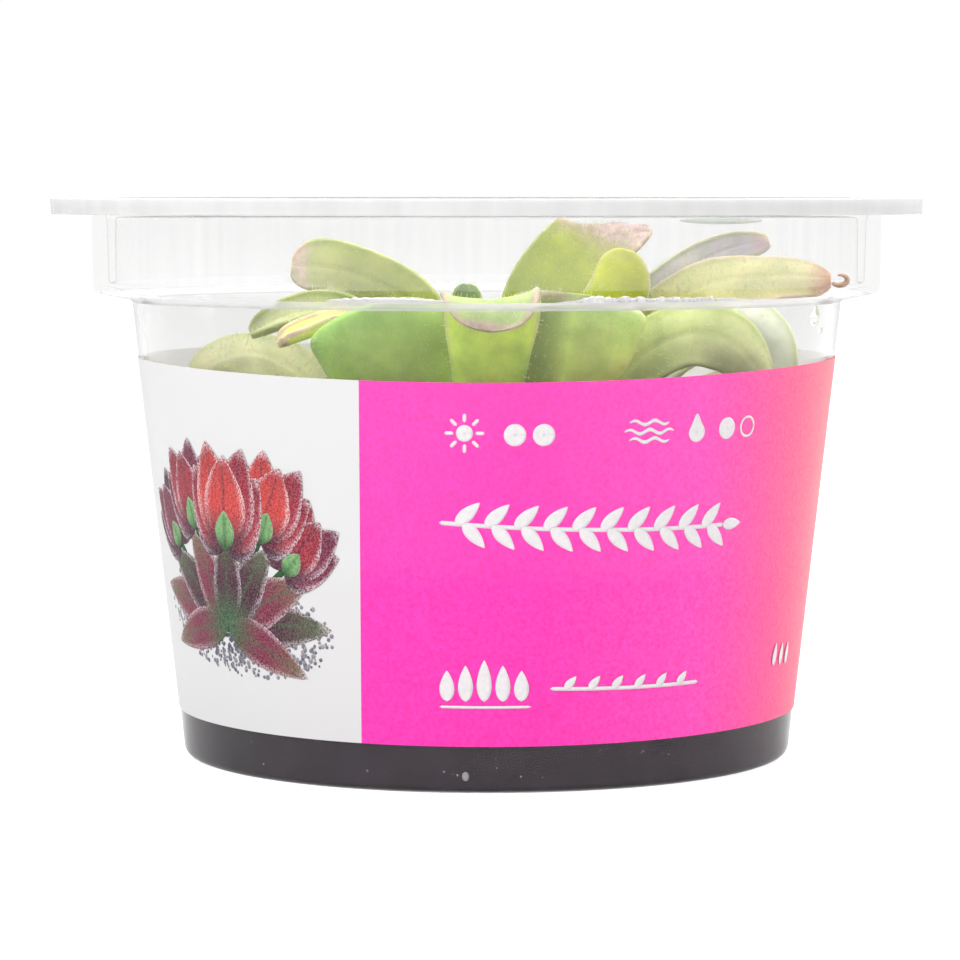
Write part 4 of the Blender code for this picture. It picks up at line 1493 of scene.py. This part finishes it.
def make_drops():
    water = water_material()
    blob("wall_drop", (36.6, -13.7, 50.9), (0.5, 0.5, 1.2), water, point=0.6, lean=0.1)
    blob("wall_drop_small", (37.2, -13.2, 49.2), (0.25, 0.25, 0.35), water)
    # Painted reflection: a greenish-grey lens just under the lid, where a leaf shows mirrored in the lid's
    # underside.
    painted_lid_reflection = principled("painted_lid_reflection", (0.72, 0.75, 0.7), 0.1, Transmission_Weight=0.8, IOR=1.05)[0]
    blob("painted_lid_reflection", (27.6, 9.5, 61.3), (4.9, 2.6, 0.46), painted_lid_reflection)
    bubble = principled("gel_bubbles", (0.26, 0.25, 0.26), 0.15)[0]
    blob("gel_bubble", (-2.3, -34.2, 1.9), (0.4, 0.3, 0.55), bubble)
    chance = random.Random(21)
    for number in range(14):
        turn = radians(chance.uniform(-70, 60))
        height = chance.uniform(1.6, 5.2)
        reach = (wall_radius(height * MM) - WALL + SWELL) / MM
        size = chance.uniform(0.05, 0.14)
        spot = (reach * sin(turn), -reach * cos(turn), height)
        blob(f"gel_speck_{number}", spot, (size, size, size), bubble, segments=10, rings=6)
    dew = bead_tree()
    wet = ("blade_arch_right", "blade_front_right", "blade_front_left", "blade_broad_right")
    for number, name in enumerate(wet):
        drops = grown(
            name.replace("blade_", "dew_"), bpy.data.objects[name].data.copy(), dew,
            {
                "Density": DEW_DENSITY, "Seed": 60 + number, "Smallest": 0.05 * MM, "Largest": 0.24 * MM,
                "Finish": water,
            },
        )
        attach(drops, "root")


# Studio

# The white light box: how bright it is to the camera, through the plastic and to a matte surface
BACKDROP = 1.02
THROUGH_PLASTIC = 0.94
LIGHT_BOX = 1.3

# The white floor: its own glow, with what the camera and a matte surface see on top of that. Its far
# edge hides behind the cup's ledge in the main view.
FLOOR_HALF = 1.85
FLOOR_GLOW = 0.3
FLOOR_TO_CAMERA = 0.5
FLOOR_TO_MATTE = 0.3

CAMERA_PLACE = (-0.75 * MM, -0.458, 0.065)
CAMERA_FALL = 0.0734
CAMERA_LENS = 148.7


def make_light_box():
    """White all round, brighter to a matte surface than through the plastic."""
    world = bpy.data.worlds.new("studio")
    bpy.context.scene.world = world
    world.use_nodes = True
    tree = world.node_tree
    tree.nodes.clear()
    path = tree.nodes.new("ShaderNodeLightPath")
    seen = add(tree, "ShaderNodeBackground", {"Color": (1, 1, 1, 1), "Strength": BACKDROP})
    after_matte = math_node(tree, "MINIMUM", path.outputs["Diffuse Depth"], 1.0)
    strength = math_node(tree, "MULTIPLY_ADD", after_matte, LIGHT_BOX - THROUGH_PLASTIC, THROUGH_PLASTIC)
    lit = add(tree, "ShaderNodeBackground", {"Color": (1, 0.998, 0.995, 1), "Strength": strength})
    both = add(
        tree, "ShaderNodeMixShader",
        {0: path.outputs["Is Camera Ray"], 1: lit.outputs[0], 2: seen.outputs[0]},
    )
    add(tree, "ShaderNodeOutputWorld", {0: both.outputs[0]})


def make_floor():
    floor_material = bpy.data.materials.new("studio_floor")
    floor_material.use_nodes = True
    tree = floor_material.node_tree
    tree.nodes.clear()
    path = tree.nodes.new("ShaderNodeLightPath")
    strength = math_node(tree, "MULTIPLY_ADD", path.outputs["Is Camera Ray"], FLOOR_TO_CAMERA, FLOOR_GLOW)
    after_matte = math_node(tree, "MINIMUM", path.outputs["Diffuse Depth"], 1.0)
    strength = math_node(tree, "MULTIPLY_ADD", after_matte, FLOOR_TO_MATTE, strength)
    glow = add(tree, "ShaderNodeEmission", {"Color": (1, 1, 1, 1), "Strength": strength})
    matte = add(tree, "ShaderNodeBsdfDiffuse", {"Color": (0.4, 0.4, 0.4, 1)})
    total = add(tree, "ShaderNodeAddShader", {0: glow.outputs[0], 1: matte.outputs[0]})
    add(tree, "ShaderNodeOutputMaterial", {0: total.outputs[0]})
    corners = [(x * FLOOR_HALF, y * FLOOR_HALF, 0) for x, y in ((-1, -1), (1, -1), (1, 1), (-1, 1))]
    floor = add_mesh("floor", corners, [(0, 1, 2, 3)], floor_material, smooth=False)


def make_lamps():
    for name, place, aim, width, height, power in (
        ("key", (-0.35, -0.5, 0.55), (0, 0, 0.035), 0.4, 0.4, 3.2),
        ("top", (0.05, 0.1, 0.7), (0, 0, 0.04), 0.5, 0.5, 4.0),
        ("rim", (0.5, 0.35, 0.3), (0, 0, 0.04), 0.3, 0.3, 2.0),
    ):
        lamp = bpy.data.lights.new(name, "AREA")
        lamp.shape = "RECTANGLE"
        lamp.size = width
        lamp.size_y = height
        lamp.energy = power
        holder = bpy.data.objects.new(name, lamp)
        holder.location = place
        holder.rotation_euler = (Vector(aim) - Vector(place)).to_track_quat("-Z", "Y").to_euler()
        bpy.context.collection.objects.link(holder)


def make_camera():
    camera = bpy.data.cameras.new("camera")
    camera.sensor_width = 36
    camera.lens = CAMERA_LENS
    holder = bpy.data.objects.new("camera", camera)
    holder.location = CAMERA_PLACE
    holder.rotation_euler = (pi / 2 - math.atan(CAMERA_FALL), 0, 0)
    bpy.context.collection.objects.link(holder)
    bpy.context.scene.camera = holder


def make_studio():
    scene = bpy.context.scene
    scene.view_settings.view_transform = "Standard"
    scene.view_settings.look = "None"
    scene.view_settings.exposure = 0.0
    cycles = scene.cycles
    cycles.max_bounces = 20
    cycles.transmission_bounces = 20
    cycles.transparent_max_bounces = 20
    cycles.diffuse_bounces = 4
    cycles.glossy_bounces = 6
    cycles.use_denoising = True
    cycles.caustics_refractive = True
    make_light_box()
    make_floor()
    make_lamps()
    make_camera()


make_studio()
TURNED = turned_tree()
make_cup()
make_lid()
make_gel()
make_label()
make_care_marks()
make_sprig()
make_picture()
make_crown()
make_leaves()
make_dry_tip()
make_ledge_froth()
make_drops()
